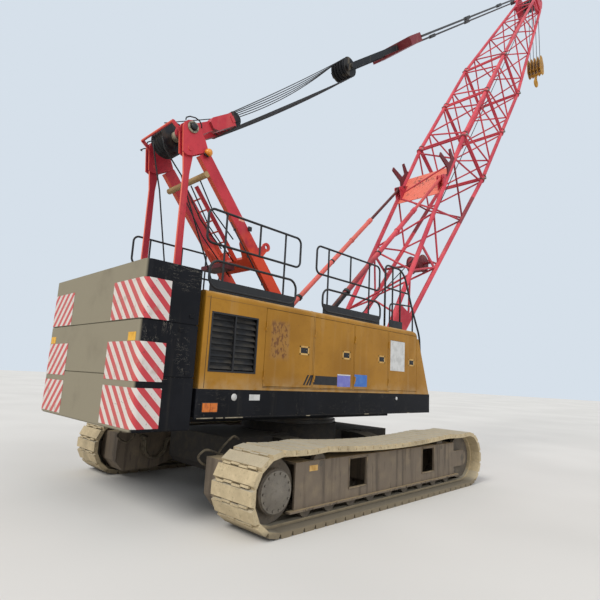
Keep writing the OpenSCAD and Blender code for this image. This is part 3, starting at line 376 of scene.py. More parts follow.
def earth_steel(name, base, sandy, dark, low=None, top=None):
    """Steel under dry earth: fine mottling, crumbs of soil, and darker or greyer faces where asked."""
    s = Surface(name, base, 0.85)
    s.layer(sandy, 0.95, s.spots(7, 9, 0.42, 0.72, None, 0.7), 0.7)
    s.layer(dark, 0.9, s.spots(26, 8, 0.54, 0.68, None, 0.7), 0.5)
    s.layer(dark, 0.9, s.spots(2.1, 5, 0.5, 0.8), 0.45)
    if top:
        s.layer(top, 0.9, s.between(s.up(), 0.55, 0.95), 0.75)
    if low:
        colour, level = low
        s.layer(colour, 0.95, s.between(s.axis(2), level, level * 0.4), 0.8)
    return s.done(s.noise(34, 8, None, 0.68), 0.9, 0.007)


def streaked_frame(name):
    """Side frame: earth, with dark runs down its sides and soil on its ledges."""
    s = Surface(name, (112, 99, 84), 0.75)
    s.layer((134, 119, 98), 0.9, s.spots(3.2, 8, 0.44, 0.7, None, 0.65), 0.7)
    s.layer((78, 68, 58), 0.8, s.spots(9, 6, 0.5, 0.68, (1, 1, 0.07)), 0.75)
    s.layer((52, 46, 41), 0.7, s.spots(22, 6, 0.6, 0.7, (1, 1, 0.12)), 0.55)
    s.layer((160, 142, 112), 0.95, s.spots(28, 8, 0.6, 0.72, None, 0.7), 0.5)
    s.layer((172, 152, 118), 0.95, s.between(s.up(), 0.2, 0.9), 0.8)
    return s.done(s.noise(26, 7), 0.5, 0.003)


def greased(name, base, light, rough=0.35, metal=0.6, more=None):
    """Bare steel under old grease."""
    s = Surface(name, base, rough, metal)
    s.layer(light, rough + 0.2, s.spots(8, 6, 0.45, 0.7))
    s.layer((96, 78, 56), 0.8, s.spots(3, 5, 0.5, 0.7), 0.35)
    if more:
        more(s)
    return s.done(s.noise(60, 4), 0.2, 0.001)


def wire(name, dark, light, pitch):
    """Wire rope: slanting strands along the run, under grease."""
    s = Surface(name, dark, 0.45, 0.5)
    strands = s.wave(pitch, 0.6, "DIAGONAL")
    s.layer(light, 0.6, strands, 0.8)
    s.layer((30, 28, 26), 0.3, s.spots(2.5, 4, 0.45, 0.65), 0.6)
    return s.done(strands, 0.6, 0.003)


def striped(name, period=0.215):
    """Slanting red and white warning stripes that run round the corners of the counterweight."""
    s = Surface(name, (208, 200, 194), 0.5)
    slant = s.math("ADD", s.math("ADD", s.axis(0), s.math("ABSOLUTE", s.axis(1))), s.axis(2))
    share = s.math("FRACT", s.math("DIVIDE", s.math("ADD", slant, 20.0), period))
    s.layer((188, 54, 62), None, s.between(share, 0.0, 0.02), s.between(share, 0.53, 0.51))
    # painted sunlight: faces that look to the rear a little lighter
    s.layer((216, 196, 160), 0.6, s.facing(0, -0.5, -0.9), 0.08)
    s.layer((150, 128, 112), 0.8, s.spots(6, 6, 0.56, 0.72), 0.4)
    s.layer((58, 50, 50), 0.8, s.spots(26, 6, 0.65, 0.68), 0.6)
    return s.done(s.noise(30, 4), 0.2, 0.001)


def glass(name, tint):
    s = Surface(name, tint, 0.06)
    s.set(s.bsdf, IOR=1.45, **{"Transmission Weight": 0.85})
    s.layer((150, 146, 132), 0.4, s.spots(2.2, 5, 0.5, 0.75), 0.4)
    return s.done()


def plain(name, base, shade, scale=12, rough=0.5, bump=0.2, dusty=0.35):
    """One colour, a little uneven and a little dusty."""
    s = Surface(name, base, rough)
    s.layer(shade, min(1, rough + 0.25), s.spots(scale, 6, 0.4, 0.68))
    s.film(dusty, 4, 4, 0.3)
    return s.done(s.noise(scale * 4, 4), bump, 0.001)


def fabric(name, base, shade):
    s = Surface(name, base, 0.9)
    s.set(s.bsdf, **{"Sheen Weight": 0.3})
    s.layer(shade, None, s.spots(7, 5, 0.4, 0.7))
    return s.done(s.wave(180, 2), 0.4, 0.001)


OCHRE = dict(base=(164, 116, 34), shade=(146, 101, 28), dusty=0.5, streaky=0.12, chips=0.2, splash=0.3)
STRUT = ((192, 56, 66), (160, 40, 54))
RED = dict(dusty=0.5, streaky=0.14, dust=(206, 140, 118))
BOOM = dict(base=(206, 70, 82), shade=(176, 50, 68), dusty=0.45, streaky=0.1, chips=0.6,
            dust=(226, 156, 140), chip=(74, 34, 40))
STOP = dict(shade=(160, 50, 62), rough=0.45, streaky=0.15, chips=0.7, dust=(220, 140, 120), chip=(56, 34, 38))
M = {
    "ochre": paint("ochre_paint", **OCHRE),
    "ochre_rubbed": paint("ochre_rubbed", **OCHRE, more=rubbed),
    # painted shade: a darker ochre line along the fold of the house side
    "crease_shade": plain("ochre_crease_shade", (112, 80, 32), (140, 100, 40), 10, 0.6),
    "pale_ochre": plain("ochre_pale", (206, 166, 96), (180, 138, 72), 10),
    "red": paint("gantry_red", (196, 58, 68), (166, 42, 56), **RED, chips=0.5, more=gantry_marks_and_rear_light),
    # the rear faces of the struts carry painted sunlight
    "strut_red": paint("strut_red", *STRUT, **RED, chips=0.5, more=strut_rear_light),
    "spreader_red": paint("spreader_red", *STRUT, **RED, chips=0.6, more=spreader_marks),
    "spreader_black": paint("spreader_black", (16, 17, 20), (34, 34, 37), 0.5, 0.3, 0.2, 0.4,
                            chip=(60, 44, 40), more=link_marks),
    "boom_red": paint("boom_red", **BOOM),
    "butt_red": paint("boom_butt_red", **BOOM, more=boom_marks_and_lacing_shade),
    "stop_red": paint("backstop_red", (196, 66, 78), **STOP, more=stop_marks),
    "rod_red": paint("backstop_rod_red", (204, 84, 80), **STOP, more=rod_marks),
    "pale_red": plain("pale_red", (222, 150, 130), (200, 120, 104), 12, 0.6),
    "dark_red": paint("dark_red", (104, 40, 46), (74, 30, 36), 0.5, 0.3, 0.2, 0.6, chip=(40, 34, 36)),
    "black": scratched_black("deck_black", 0.3, 0.3),
    # the counterweight's rear faces carry painted sunlight
    "weight": scratched_black("weight_black", 0.25, 0.75, 0.85),
    "rail": plain("rail_black", (12, 12, 15), (26, 26, 29), 9, dusty=0.2),
    "track": earth_steel("track_shoes", (180, 163, 130), (206, 188, 152), (98, 88, 72),
                         ((100, 90, 74), 0.16), (164, 159, 144)),
    "frame": streaked_frame("frame_dirt"),
    # painted shade: the underbody's dark base stands for the shade under the deck; the soil on it is dirt
    "under": earth_steel("underbody_painted_shade", (44, 40, 36), (72, 63, 51), (28, 26, 24), top=(96, 86, 70)),
    "wheel": earth_steel("wheel_dirt", (92, 84, 74), (116, 105, 88), (50, 46, 42)),
    "hub": earth_steel("hub_cover", (118, 111, 101), (134, 126, 112), (84, 78, 70)),
    "mark": plain("frame_marks", (112, 98, 76), (132, 116, 90), 20, 0.9),
    "oily": greased("oily_steel", (46, 44, 42), (78, 74, 68)),
    "boom_wheel": greased("boom_sheave_steel", (46, 44, 42), (78, 74, 68), 0.4, 0.3, roller_marks),
    "sheave": greased("sheave_grease", (20, 21, 24), (44, 42, 42), 0.35, 0.3),
    "steel": greased("bare_steel", (120, 118, 112), (150, 146, 136), 0.4, 0.8),
    "boss": plain("boss_beige", (158, 148, 126), (112, 104, 88), 14, 0.6),
    "rope": wire("wire_rope", (26, 26, 28), (60, 57, 55), 26),
    "pendant": wire("pendant_rope", (40, 39, 40), (84, 80, 76), 20),
    "hose": plain("hose_dusty", (104, 94, 76), (60, 53, 44), 12, 0.9),
    "white": plain("blank_white", (206, 206, 204), (186, 186, 184), 8, 0.55),
    "lilac": plain("blank_lilac", (108, 110, 184), (128, 130, 192), 8),
    "blue": plain("blank_blue", (52, 102, 178), (78, 122, 186), 8),
    "yellow": plain("blank_yellow", (222, 168, 48), (196, 144, 44), 8),
    "hook_yellow": paint("hook_paint", (196, 146, 56), (160, 116, 48), 0.5, streaky=0.3, chips=0.6),
    "stripes": striped("warning_stripes"),
    "lamp": plain("amber_lens", (204, 112, 38), (170, 84, 30), 20, 0.3, dusty=0.1),
    "amber_ball": plain("amber_dome", (226, 146, 44), (206, 118, 28), 20, 0.2),
    "glass": glass("cab_panes", (176, 190, 190)),
    "cloth": fabric("seat_cloth", (46, 46, 50), (30, 30, 33)),
    "plastic": plain("grained_plastic", (44, 44, 46), (60, 60, 60), 30, 0.55, bump=0.4),
}

FINISH = {
    "frame": "right_side_frame left_side_frame",
    "under": "car_body car_body_weights",
    "track": "right_track left_track",
    "wheel": "right_wheels left_wheels",
    "oily": "slew_ring engine winch_drums",
    "boom_wheel": "boom_sheaves",
    "hose": "travel_hoses",
    "black": "turntable right_deck left_deck",
    "rail": "roof_rails louvres",
    "ochre": "right_house left_house cab cab_door right_door_2 right_door_3 right_door_4 "
             "left_door_1 left_door_2",
    "ochre_rubbed": "right_door_1",
    "weight": "counterweight_base counterweight_middle counterweight_top",
    "red": "gantry_front_legs",
    "strut_red": "gantry_rear_struts",
    "spreader_red": "lower_spreader",
    "spreader_black": "upper_spreader",
    "butt_red": "boom_butt",
    "boom_red": "boom_insert_1 boom_insert_2 boom_tip",
    "stop_red": "backstop_tubes",
    "rod_red": "backstop_rods",
    "sheave": "gantry_sheaves",
    "glass": "cab_glass cab_door_glass",
    "pendant": "pendants",
    "rope": "hoist_falls",
    "hook_yellow": "hook_block",
}
for key, names in FINISH.items():
    for name in names.split():
        mesh = NODES[name].data
        mesh.materials.clear()
        mesh.materials.append(M[key])


# Mesh helpers

def square_to(d):
    """A direction at right angles to d."""
    side = d.cross(Vector((0, 0, 1)))
    if side.length < 0.1:
        side = d.cross(Vector((1, 0, 0)))
    return side.normalized()


def disc(r, low, high):
    """The profile of a disc, for lathe."""
    return [(low, 0), (low, r), (high, r), (high, 0)]


def rim(x0, x1, z0, z1, w=0.02):
    """Four bars of width w inside an opening's edge."""
    return (x0, x1, z0, z0 + w), (x0, x1, z1 - w, z1), (x0, x0 + w, z0, z1), (x1 - w, x1, z0, z1)


def smooth_path(corners, r, n=5):
    """A line with its inner corners rounded."""
    pts = [Vector(c) for c in corners]
    out = [pts[0]]
    for a, b, c in zip(pts, pts[1:], pts[2:]):
        u, v = (a - b).normalized(), (c - b).normalized()
        d = min(r, (a - b).length * 0.45, (c - b).length * 0.45)
        p, q = b + u * d, b + v * d
        for i in range(n + 1):
            t = i / n
            out.append((1 - t) ** 2 * p + 2 * t * (1 - t) * b + t * t * q)
    out.append(pts[-1])
    return out


def at_y(y, outline):
    """An outline of X and Z, at one Y."""
    return [(x, y, z) for x, z in outline]


def add(name, data):
    """A new object in the scene."""
    obj = bpy.data.objects.new(name, data)
    scene.collection.objects.link(obj)
    return obj


def mesh_object(name, bm):
    mesh = bpy.data.meshes.new(name)
    bm.to_mesh(mesh)
    bm.free()
    return add(name, mesh)


class Piece:
    """Collects solids into one mesh that rides on a body."""

    def __init__(self, name, body, *mats):
        self.name, self.body = name, body
        self.mats = [M[m] for m in mats]
        self.bm = bmesh.new()

    def _take(self, faces, mat, smooth):
        for f in faces:
            f.material_index = mat
            f.smooth = smooth

    def _flat(self, faces, mat, bevel):
        """Gives flat faces their material, and rounds their edges."""
        self._take(faces, mat, False)
        if bevel:
            edges = list(dict.fromkeys(e for f in faces for e in f.edges))
            made = bmesh.ops.bevel(self.bm, geom=edges, offset=bevel, segments=2, affect="EDGES",
                                   profile=0.6, clamp_overlap=True)
            self._take(made["faces"], mat, False)

    def _ring(self, centre, side, other, r, sides):
        turns = [2 * math.pi * k / sides for k in range(sides if r else 1)]
        return [self.bm.verts.new(centre + r * (math.cos(a) * side + math.sin(a) * other)) for a in turns]

    def _skin(self, rows):
        """Faces between neighbouring rings; a ring of one point is a pole."""
        faces = []
        for a, b in zip(rows, rows[1:]):
            sides = max(len(a), len(b))
            for k in range(sides):
                q = (k + 1) % sides
                first = (a[k], a[q]) if len(a) > 1 else (a[0],)
                second = (b[q], b[k]) if len(b) > 1 else (b[0],)
                faces.append(self.bm.faces.new((*first, *second)))
        return faces

    def solid(self, rows):
        """The skin and the two ends of a run of rings."""
        return self._skin(rows), [self.bm.faces.new(rows[0][::-1]), self.bm.faces.new(rows[-1])]

    def box(self, corner, other, mat=0, bevel=0.0):
        """A box between any two opposite corners."""
        low, high = Vector(map(min, corner, other)), Vector(map(max, corner, other))
        m = Matrix.Translation((low + high) / 2) @ Matrix.Diagonal((*(high - low), 1))
        made = bmesh.ops.create_cube(self.bm, size=1.0, matrix=m)
        self._flat(list(dict.fromkeys(f for v in made["verts"] for f in v.link_faces)), mat, bevel)

    def block(self, at, half, mat=0, bevel=0.0):
        """A box by its middle and its half sizes."""
        at, half = Vector(at), Vector(half)
        self.box(at - half, at + half, mat, bevel)

    def prism(self, outline, y0, y1, mat=0, bevel=0.0):
        """An outline in X and Z, carried from one Y to another."""
        rows = [[self.bm.verts.new(p) for p in at_y(y, outline)] for y in sorted((y0, y1))]
        skin, ends = self.solid(rows)
        self._flat(ends + skin, mat, bevel)

    def tube(self, points, r, sides=10, mat=0):
        """A round bar along a line of points."""
        pts = [Vector(p) for p in points]
        side, rows = None, []
        for before, p, after in zip(pts[:1] + pts, pts, pts[1:] + pts[-1:]):
            d = (after - before).normalized()
            side = square_to(d) if side is None else (side - d * side.dot(d)).normalized()
            rows.append(self._ring(p, side, d.cross(side), r, sides))
        skin, ends = self.solid(rows)
        self._take(skin, mat, True)
        self._take(ends, mat, False)

    def lathe(self, profile, centre, axis, sides=32, mat=0, smooth=True):
        """A profile of (distance along the axis, radius) turned about the axis."""
        axis = Vector(axis).normalized()
        side = square_to(axis)
        rows = [self._ring(Vector(centre) + t * axis, side, axis.cross(side), r, sides) for t, r in profile]
        self._take(self._skin(rows), mat, smooth)

    def bolt(self, at, axis, r=0.014, h=0.012, mat=0):
        """A hexagon head with a rounded top, on a washer."""
        self.lathe([(0, 0), (0, r * 1.45), (0.003, r * 1.45), (0.003, r * 1.3)], at, axis, 12, mat, False)
        self.lathe([(0.003, r), (h, r), (h + 0.3 * r, r * 0.75), (h + 0.3 * r, 0)], at, axis, 6, mat, False)

    def make(self):
        bmesh.ops.recalc_face_normals(self.bm, faces=self.bm.faces)
        obj = mesh_object(self.name, self.bm)
        for m in self.mats:
            obj.data.materials.append(m)
        if self.body:
            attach(obj, self.body)
        return obj


# Counterweight: warning stripes round the corners, reflectors, lifting lugs

WEIGHT_REAR = -4.23
CORNER_R = 0.09
STRIPE_X, STRIPE_Y = -3.86, 0.72
STRIPE_ROWS = ((2.6, 3.12), (1.82, 2.31), (1.25, 1.74))
# how far a plate's inner and outer face stand off the block
STRIPE_IN, STRIPE_OUT = 0.001, 0.004


def corner_path(side):
    """Points of a plate round one rear corner, each with the way it faces."""
    path = [((STRIPE_X, side * SIDE), (0, side))]
    x, y = WEIGHT_REAR + CORNER_R, side * (SIDE - CORNER_R)
    for degrees in range(90, 181, 15):
        way = xz(math.radians(degrees))
        c, s = way.x, side * way.z
        path.append(((x + CORNER_R * c, y + CORNER_R * s), (c, s)))
    return path + [((WEIGHT_REAR, side * STRIPE_Y), (-1, 0))]


stripes = Piece("warning_stripe_plates", "upperworks", "stripes")
for z0, z1 in STRIPE_ROWS:
    for side in (-1, 1):
        edges = ((STRIPE_IN, z0), (STRIPE_OUT, z0), (STRIPE_OUT, z1), (STRIPE_IN, z1))
        stripes.solid([[stripes.bm.verts.new((x + nx * d, y + ny * d, z)) for d, z in edges]
                       for (x, y), (nx, ny) in corner_path(side)])
stripes.make()

fit = Piece("counterweight_fittings", "upperworks", "black", "yellow", "steel")
for side in (-1, 1):
    fit.box((WEIGHT_REAR - 0.005, side * 1.3, 2.315), (WEIGHT_REAR + 0.001, side * 1.5, 2.425), 1, 0.002)
    for x in (-4.0, -3.6):
        top = Vector((x, side * 1.05, 3.375))
        ring = [top + 0.07 * xz(math.pi * k / 8) for k in range(9)]
        fit.tube([(x + 0.07, top.y, 3.35), *ring, (x - 0.07, top.y, 3.35)], 0.016)
    for x, z in ((-3.52, 1.94), (-3.52, 2.7), (-3.837, 1.829), (-3.66, 2.5)):
        fit.block((x, side * SIDE, z), (0.035, 0.012, 0.025), 0, 0.004)
fit.make()

# Deck band: lamps, blank stickers, bolts, scraped lower edge

band = Piece("deck_band_fittings", "upperworks", "lamp", "white", "rail", "steel")
for side, bolts in ((-1, 11), (1, 8)):
    y = side * SIDE
    band.box((-3.255, y, 1.43), (-2.985, y + side * 0.008, 1.574), 2, 0.003)
    for x0, x1 in ((-3.24, -3.12), (-3.115, -3.0)):
        band.box((x0, y, 1.443), (x1, y + side * 0.022, 1.561), 0, 0.008)
    for k in range(bolts):
        band.bolt((-3.2 + 0.6 * k, y, 1.4), (0, side, 0), 0.01, 0.007, 2)
for x, z, r, sides in ((-2.709, 1.644, 0.05, 28), (1.492, 1.652, 0.035, 20)):
    band.lathe(disc(r, 0, 0.0015), (x, -SIDE - 0.0005, z), (0, -1, 0), sides, 1)
band.box((-2.43, -SIDE - 0.002, 1.6), (-2.225, -SIDE - 0.0003, 1.685), 1)
band.make()

edge = Piece("deck_lower_flange", "upperworks", "black", "boss")
for side, front in ((-1, 2.83), (1, 1.29)):
    edge.box((-3.35, side * 1.57, 1.352), (front, side * 1.602, 1.372), 0, 0.003)
for x, long in ((-3.31, 0.26), (-3.0, 0.12), (-2.84, 0.31), (-1.2, 0.1), (0.4, 0.14), (1.9, 0.09)):
    edge.box((x, -1.6045, 1.354), (x + long, -1.6015, 1.367), 1)
edge.make()

# Machine houses: seams, a line of painted shade along the fold, blank plates, marks, latches, dark louvre
# backs that paint shade, roof

DOOR_X, DOOR_PITCH = -2.2, 1.12
DOOR_LOW, HOUSE_CREASE = 1.787, 3.008
# how far a latch's middle lies behind the next door's rear edge, and its height
LATCH_BACK, LATCH_Z = 0.23, 2.416


def flat(piece, x0, x1, z0, z1, mat=0, lean=0.0, proud=0.0, side=-1):
    """A thin plate on a house's outer face; lean moves its upper edge forward."""
    piece.prism([(x0, z0), (x1, z0), (x1 + lean, z1), (x0 + lean, z1)],
                side * (SIDE + 0.0002 + proud), side * (SIDE + 0.0015 + proud), mat)


def door_marks(k, mats, *plates):
    """Marks on a right house door; each plate is written as flat takes it."""
    marks = Piece(f"right_door_{k}_marks", f"right_door_{k}", *mats)
    for one in plates:
        flat(marks, *one)
    marks.make()


for side, name, front, crease_end in ((-1, "right", 1.21, 2.16), (1, "left", 0.95, 0.55)):
    seam = Piece(f"{name}_house_seams_and_crease_shade", "upperworks", "rail", "crease_shade")
    flat(seam, -2.19, front, DOOR_LOW, DOOR_LOW + 0.007, 0, 0, 0.0005, side)
    flat(seam, -3.244, -3.237, 1.76, 3.03, 0, 0, 0.0005, side)
    # painted shade: a darker line along the fold of the house side
    flat(seam, -3.3, crease_end, HOUSE_CREASE, HOUSE_CREASE + 0.005, 1, 0, 0.0003, side)
    seam.make()

door_marks(1, ("rail",), *((-1.309 + 0.073 * k, -1.268 + 0.073 * k, 1.85, 2.02, 0, lean)
                           for k, lean in enumerate((0.1, 0.1, 0.06))))
door_marks(2, ("rail", "lilac", "white"), (-1.055, -0.435, 1.865, 2.015), (-0.43, -0.06, 1.846, 2.066, 1),
           (-0.43, -0.06, 2.046, 2.066, 2, 0, 0.001))
door_marks(3, ("blue", "white"), (0.065, 0.454, 1.86, 2.08))
door_marks(4, ("white", "rail"), (1.24, 1.775, 2.21, 2.83), (1.24, 1.775, 2.826, 2.83, 1, 0, 0.0008))

for side, name, count in ((-1, "right", 4), (1, "left", 2)):
    for k in range(1, count + 1):
        x, y, z = DOOR_X + DOOR_PITCH * k - LATCH_BACK, side * SIDE, LATCH_Z
        latch = Piece(f"{name}_door_{k}_latch", f"{name}_door_{k}", "rail", "steel", "pale_ochre")
        latch.block((x, y - side * 0.0025, z), (0.086, 0.0035, 0.047), 0, 0.004)
        latch.block((x - 0.016, y + side * 0.0015, z), (0.036, 0.0045, 0.02), 0, 0.007)
        latch.lathe([(0, 0), (0, 0.01), (0.006, 0.01), (0.008, 0)], (x + 0.053, y, z), (0, side, 0), 12, 1)
        for a, b, c, d in rim(x - 0.114, x + 0.114, z - 0.074, z + 0.074, 0.028):
            latch.box((a, y - side * 0.001, c), (b, y + side * 0.003, d), 2, 0.002)
        latch.make()

# painted shade: dark sheets behind the louvres stand for the shaded inside of the house
back = Piece("louvre_shade_backs", "upperworks", "rail")
for side in (-1, 1):
    back.box((-3.19, side * 1.525, 1.995), (-2.355, side * 1.535, 2.81))
back.make()

roof = Piece("roof_seams", "upperworks", "ochre", "rail")
for side, front in ((-1, 2.15), (1, 1.1)):
    middle = side * 1.27
    for x in (-2.21, -1.09, 0.03, 1.13):
        if x < front - 0.3:
            roof.block((x, side * 1.275, ROOF_Z + 0.002), (0.012, 0.255, 0.004), 0, 0.002)
    for x in (-2.9, -1.8, -0.6, 0.4):
        for y in (side * 1.05, side * 1.5):
            roof.bolt((x, y, ROOF_Z), (0, 0, 1), 0.012, 0.01, 1)
    # tread plates with five ribs each
    for x in (-2.8 + 0.27 * i for i in range(14)):
        if x < front - 0.4:
            roof.block((x, middle, ROOF_Z + 0.001), (0.1, 0.16, 0.002), 1, 0.0015)
            for j in range(5):
                roof.block((x, middle + 0.06 * (j - 2), ROOF_Z + 0.004), (0.085, 0.008, 0.002), 1, 0.001)
roof.make()

# Front handrail of the right house

RAIL_Y, RAIL_TOP, RAIL_LOW = -1.47, 4.44, 3.09
rail = Piece("front_handrail", "upperworks", "rail")
outline = ((1.19, RAIL_LOW), (1.19, RAIL_TOP), (1.77, RAIL_TOP), (1.95, 4.31), (2.26, 3.65), (2.6, 3.04),
           (2.64, 2.55), (2.5, 2.52))
rail.tube(smooth_path(at_y(RAIL_Y, outline), 0.13), 0.021, 12)
rail.tube([(1.19, RAIL_Y, 3.95), (2.11, RAIL_Y, 3.95)], 0.018)
for x in (1.47, 1.77):
    rail.tube([(x, RAIL_Y, RAIL_LOW), (x, RAIL_Y, RAIL_TOP - 0.01)], 0.018)
rail.tube([(2.24, RAIL_Y, 2.96), (2.62, RAIL_Y, 2.96)], 0.016)
inner = ((1.33, RAIL_LOW), (1.33, 3.62), (2.24, 3.68), (2.24, 2.98))
rail.tube(smooth_path(at_y(RAIL_Y - 0.03, inner), 0.1), 0.017)
rail.box((1.31, -1.515, 3.11), (1.8, -1.495, 3.27), 0, 0.003)
rail.make()

# Gantry: pin rings, shaft knob, beacon, cables, marks

LEG_CABLE_Y = -0.622
BEACON, BEACON_UP = (-2.911, -0.655, 5.571), (0.3, -0.6, 0.75)
gantry = Piece("gantry_fittings", "upperworks", "boss", "amber_ball", "rail", "pale_red", "dark_red", "steel")
for side in (-1, 1):
    out = (0, side, 0)
    gantry.lathe([(0, 0), (0, 0.1), (0.022, 0.1), (0.026, 0.094), (0.026, 0.068), (0.014, 0.064), (0.014, 0)],
                 (HEAD.x, side * 0.632, HEAD.z), out, 36)
    gantry.lathe([(0, 0), (0, 0.058), (0.03, 0.056), (0.038, 0.03), (0.038, 0)],
                 (HEAD.x, side * 0.66, HEAD.z), out, 24, 2)
    for degrees in range(30, 390, 60):
        spot = HEAD + 0.082 * xz(math.radians(degrees)) + Vector((0, side * 0.658, 0))
        gantry.bolt(spot, out, 0.009, 0.006, 5)
gantry.lathe([(0, 0), (0, 0.095), (0.05, 0.093), (0.11, 0.075), (0.15, 0.06), (0.15, 0)],
             (HEAD.x, -0.11, HEAD.z), (0, -1, 0), 28)
gantry.lathe([(0, 0), (0, 0.055), (0.03, 0.07), (0.07, 0.062), (0.1, 0.035), (0.112, 0)],
             BEACON, BEACON_UP, 24, 1)
gantry.lathe(disc(0.045, -0.03, 0), BEACON, BEACON_UP, 20, 2)
for y in (-0.645, 0.645):
    gantry.tube(at_y(y, ((-3.361, 6.004), (-3.355, 6.047), (-3.294, 6.093), (-3.187, 6.115), (-3.106, 6.096),
                         (-3.061, 6.048), (-3.055, 5.99))), 0.011, 8, 2)
gantry.tube([(-3.48, 0.56, 5.8), *at_y(0.7, ((-3.445, 5.876), (-3.384, 5.928), (-3.298, 5.964)))], 0.01, 8, 2)
gantry.tube([(-2.294, LEG_CABLE_Y, 4.57), (-1.86, LEG_CABLE_Y - 0.006, 4.052), (-1.424, LEG_CABLE_Y, 3.535),
             (-1.02, LEG_CABLE_Y, 3.07), (-0.6, LEG_CABLE_Y, 2.56)], 0.011, 8, 2)
for x, z in ((-1.488, 3.61), (-1.86, 4.052), (-2.2, 4.457), (-1.02, 3.07)):
    gantry.block((x, LEG_CABLE_Y - 0.001, z), (0.02, 0.013, 0.02), 2, 0.004)
gantry.box((-1.905, -0.64, 4.52), (-1.829, -0.61, 4.6), 2, 0.005)
gantry.box((-2.12, -0.6125, 4.65), (-2.0, -0.61, 4.735), 3)
for y, s0, s1, n in ((-0.06, 4.45, 2.9, 0.15), (0.05, 4.5, 3.2, 0.17), (0.3, 4.45, 2.6, 0.13),
                     (-0.33, 4.5, 3.3, 0.12)):
    gantry.tube([leg_pt(s0, n, y), leg_pt((s0 + s1) / 2, n + 0.05, y + 0.03), leg_pt(s1, n - 0.02, y - 0.02)],
                0.012, 8, 2)
gantry.box((-2.215, -0.3, 3.83), (-1.901, 0.3, 3.91), 4, 0.004)
gantry.make()

# Ropes of the gantry: down from the head sheaves to the winches, and their windings

ROPE_R = 0.013
WINCHES = ((0.85, 2.08, 0.3), (-1.25, 2.08, 0.3), (-2.45, 2.02, 0.26))
COIL_HALF, COIL_PITCH = 0.43, 0.031
down = Piece("gantry_ropes", "upperworks", "rope")
for y, outline in ((-0.1, ((-3.46, 5.86), (-3.4, 5.68), (-3.237, 5.511), (-3.036, 5.313), (-1.56, 2.16))),
                   (0.2, ((-3.48, 5.94), (-3.425, 5.69), (-3.365, 5.447), (-3.255, 5.046), (-2.71, 2.12)))):
    down.tube(at_y(y, outline), ROPE_R, 8)
down.tube([hang_pt(0.0, 0.3, 0.03), hang_pt(0.5, 0.24, 0.03), hang_pt(1.235, 0.142)], 0.009, 8)
down.make()
for k, (x, z, r) in enumerate(WINCHES):
    coil = Piece(f"winch_{k + 1}_windings", "upperworks", "rope")
    turns = int(2 * COIL_HALF / COIL_PITCH)
    waves = [((i + t) * COIL_PITCH, r + h) for i in range(turns)
             for t, h in ((0.15, 0.01), (0.5, 0.026), (0.85, 0.01))]
    end, core = turns * COIL_PITCH, r + 0.002
    coil.lathe([(0, 0), (0, core), *waves, (end, core), (end, 0)], (x, -COIL_HALF, z), (0, 1, 0), 40)
    coil.make()

# Luffing ropes between the two spreaders, and their turns round the sheaves

LOW_S, LOW_R, HIGH_S, HIGH_R = 1.235, 0.128, 5.9, 0.235
SHEAVE_PITCH = 0.085


def strand(a, b, sag, steps=24):
    """Points from a to b that sag between them."""
    shares = [i / steps for i in range(steps + 1)]
    return [a.lerp(b, t) - Vector((0, 0, sag * t * (1 - t))) for t in shares]


luff = Piece("luffing_ropes", None, "rope")
for k in range(5):
    y = SHEAVE_PITCH * (k - 2)
    luff.tube(strand(hang_pt(LOW_S, LOW_R, 2 * y), line_pt(HIGH_S, HIGH_R, y), 0.15 + 0.2 * k), 0.0095, 8)
    low_y = min(0.34, 2 * y + SHEAVE_PITCH)
    luff.tube(strand(hang_pt(LOW_S, -LOW_R, low_y), line_pt(HIGH_S, -HIGH_R, y), 0.05 + 0.06 * k), 0.0095, 8)
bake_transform(luff.make(), "suspension_line", "pendants", start=tuple(line_pt(1.7)), end=tuple(line_pt(5.6)))


def half_turns(name, body, point, s, r, count, forward):
    """Rope round half of each sheave, on its front or its rear."""
    turn = Piece(name, body, "rope")
    for k in range(count):
        y = SHEAVE_PITCH * (k - (count - 1) / 2)
        angles = [math.radians(15 * i - 90) for i in range(13)]
        turn.tube([point(s + forward * r * math.cos(a), r * math.sin(a), y) for a in angles], 0.0115, 8)
    turn.make()


half_turns("lower_spreader_turns", "suspension_line", hang_pt, LOW_S, LOW_R, 9, -1)
half_turns("upper_spreader_turns", "pendants", line_pt, HIGH_S, HIGH_R, 5, 1)

# Hoist rope: from the front winch over the guide roller and along the boom to its head

# the roller's place on the boom, and how far from its shaft the rope runs
ROLLER_U, ROLLER_V, ROLLER_R = 4.17, -0.195, 0.232
roller = boom_pt(ROLLER_U, ROLLER_V, -0.35)
winch_x, winch_z, winch_r = WINCHES[0]
drum = Vector((winch_x, -0.1, winch_z))
run = roller - drum
run.y = 0
over = across(run.normalized())
a, b = drum + over * (winch_r + 0.026), roller + over * ROLLER_R
lead = Piece("hoist_rope_lead", None, "rope")
lead.tube(strand(a, b, 0, 16), ROPE_R, 8)
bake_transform(lead.make(), "upperworks", "boom", start=tuple(a.lerp(b, 0.06)), end=tuple(a.lerp(b, 0.94)))
hoist = Piece("hoist_rope", "boom", "rope")
first, last = math.atan2(over.z, over.x), math.atan2(ACROSS.z, ACROSS.x)
arc = [roller + xz(first + (last - first) * i / 4) * ROLLER_R for i in range(5)]
hoist.tube(arc + [boom_pt(9.0, 0.03, -0.32), boom_pt(16.0, 0.09, -0.28), boom_pt(24.25, 0.215, -0.228)],
           ROPE_R, 8)
hoist.make()
rims = Piece("guide_roller_rims", "boom", "dark_red")
for y in (-0.54, -0.16):
    rims.lathe(disc(0.255, -0.012, 0.012), boom_pt(ROLLER_U, ROLLER_V, y), (0, 1, 0), 40)
rims.make()

# Boom: section pins, backstop bands, broad plates between the chords of the first bay

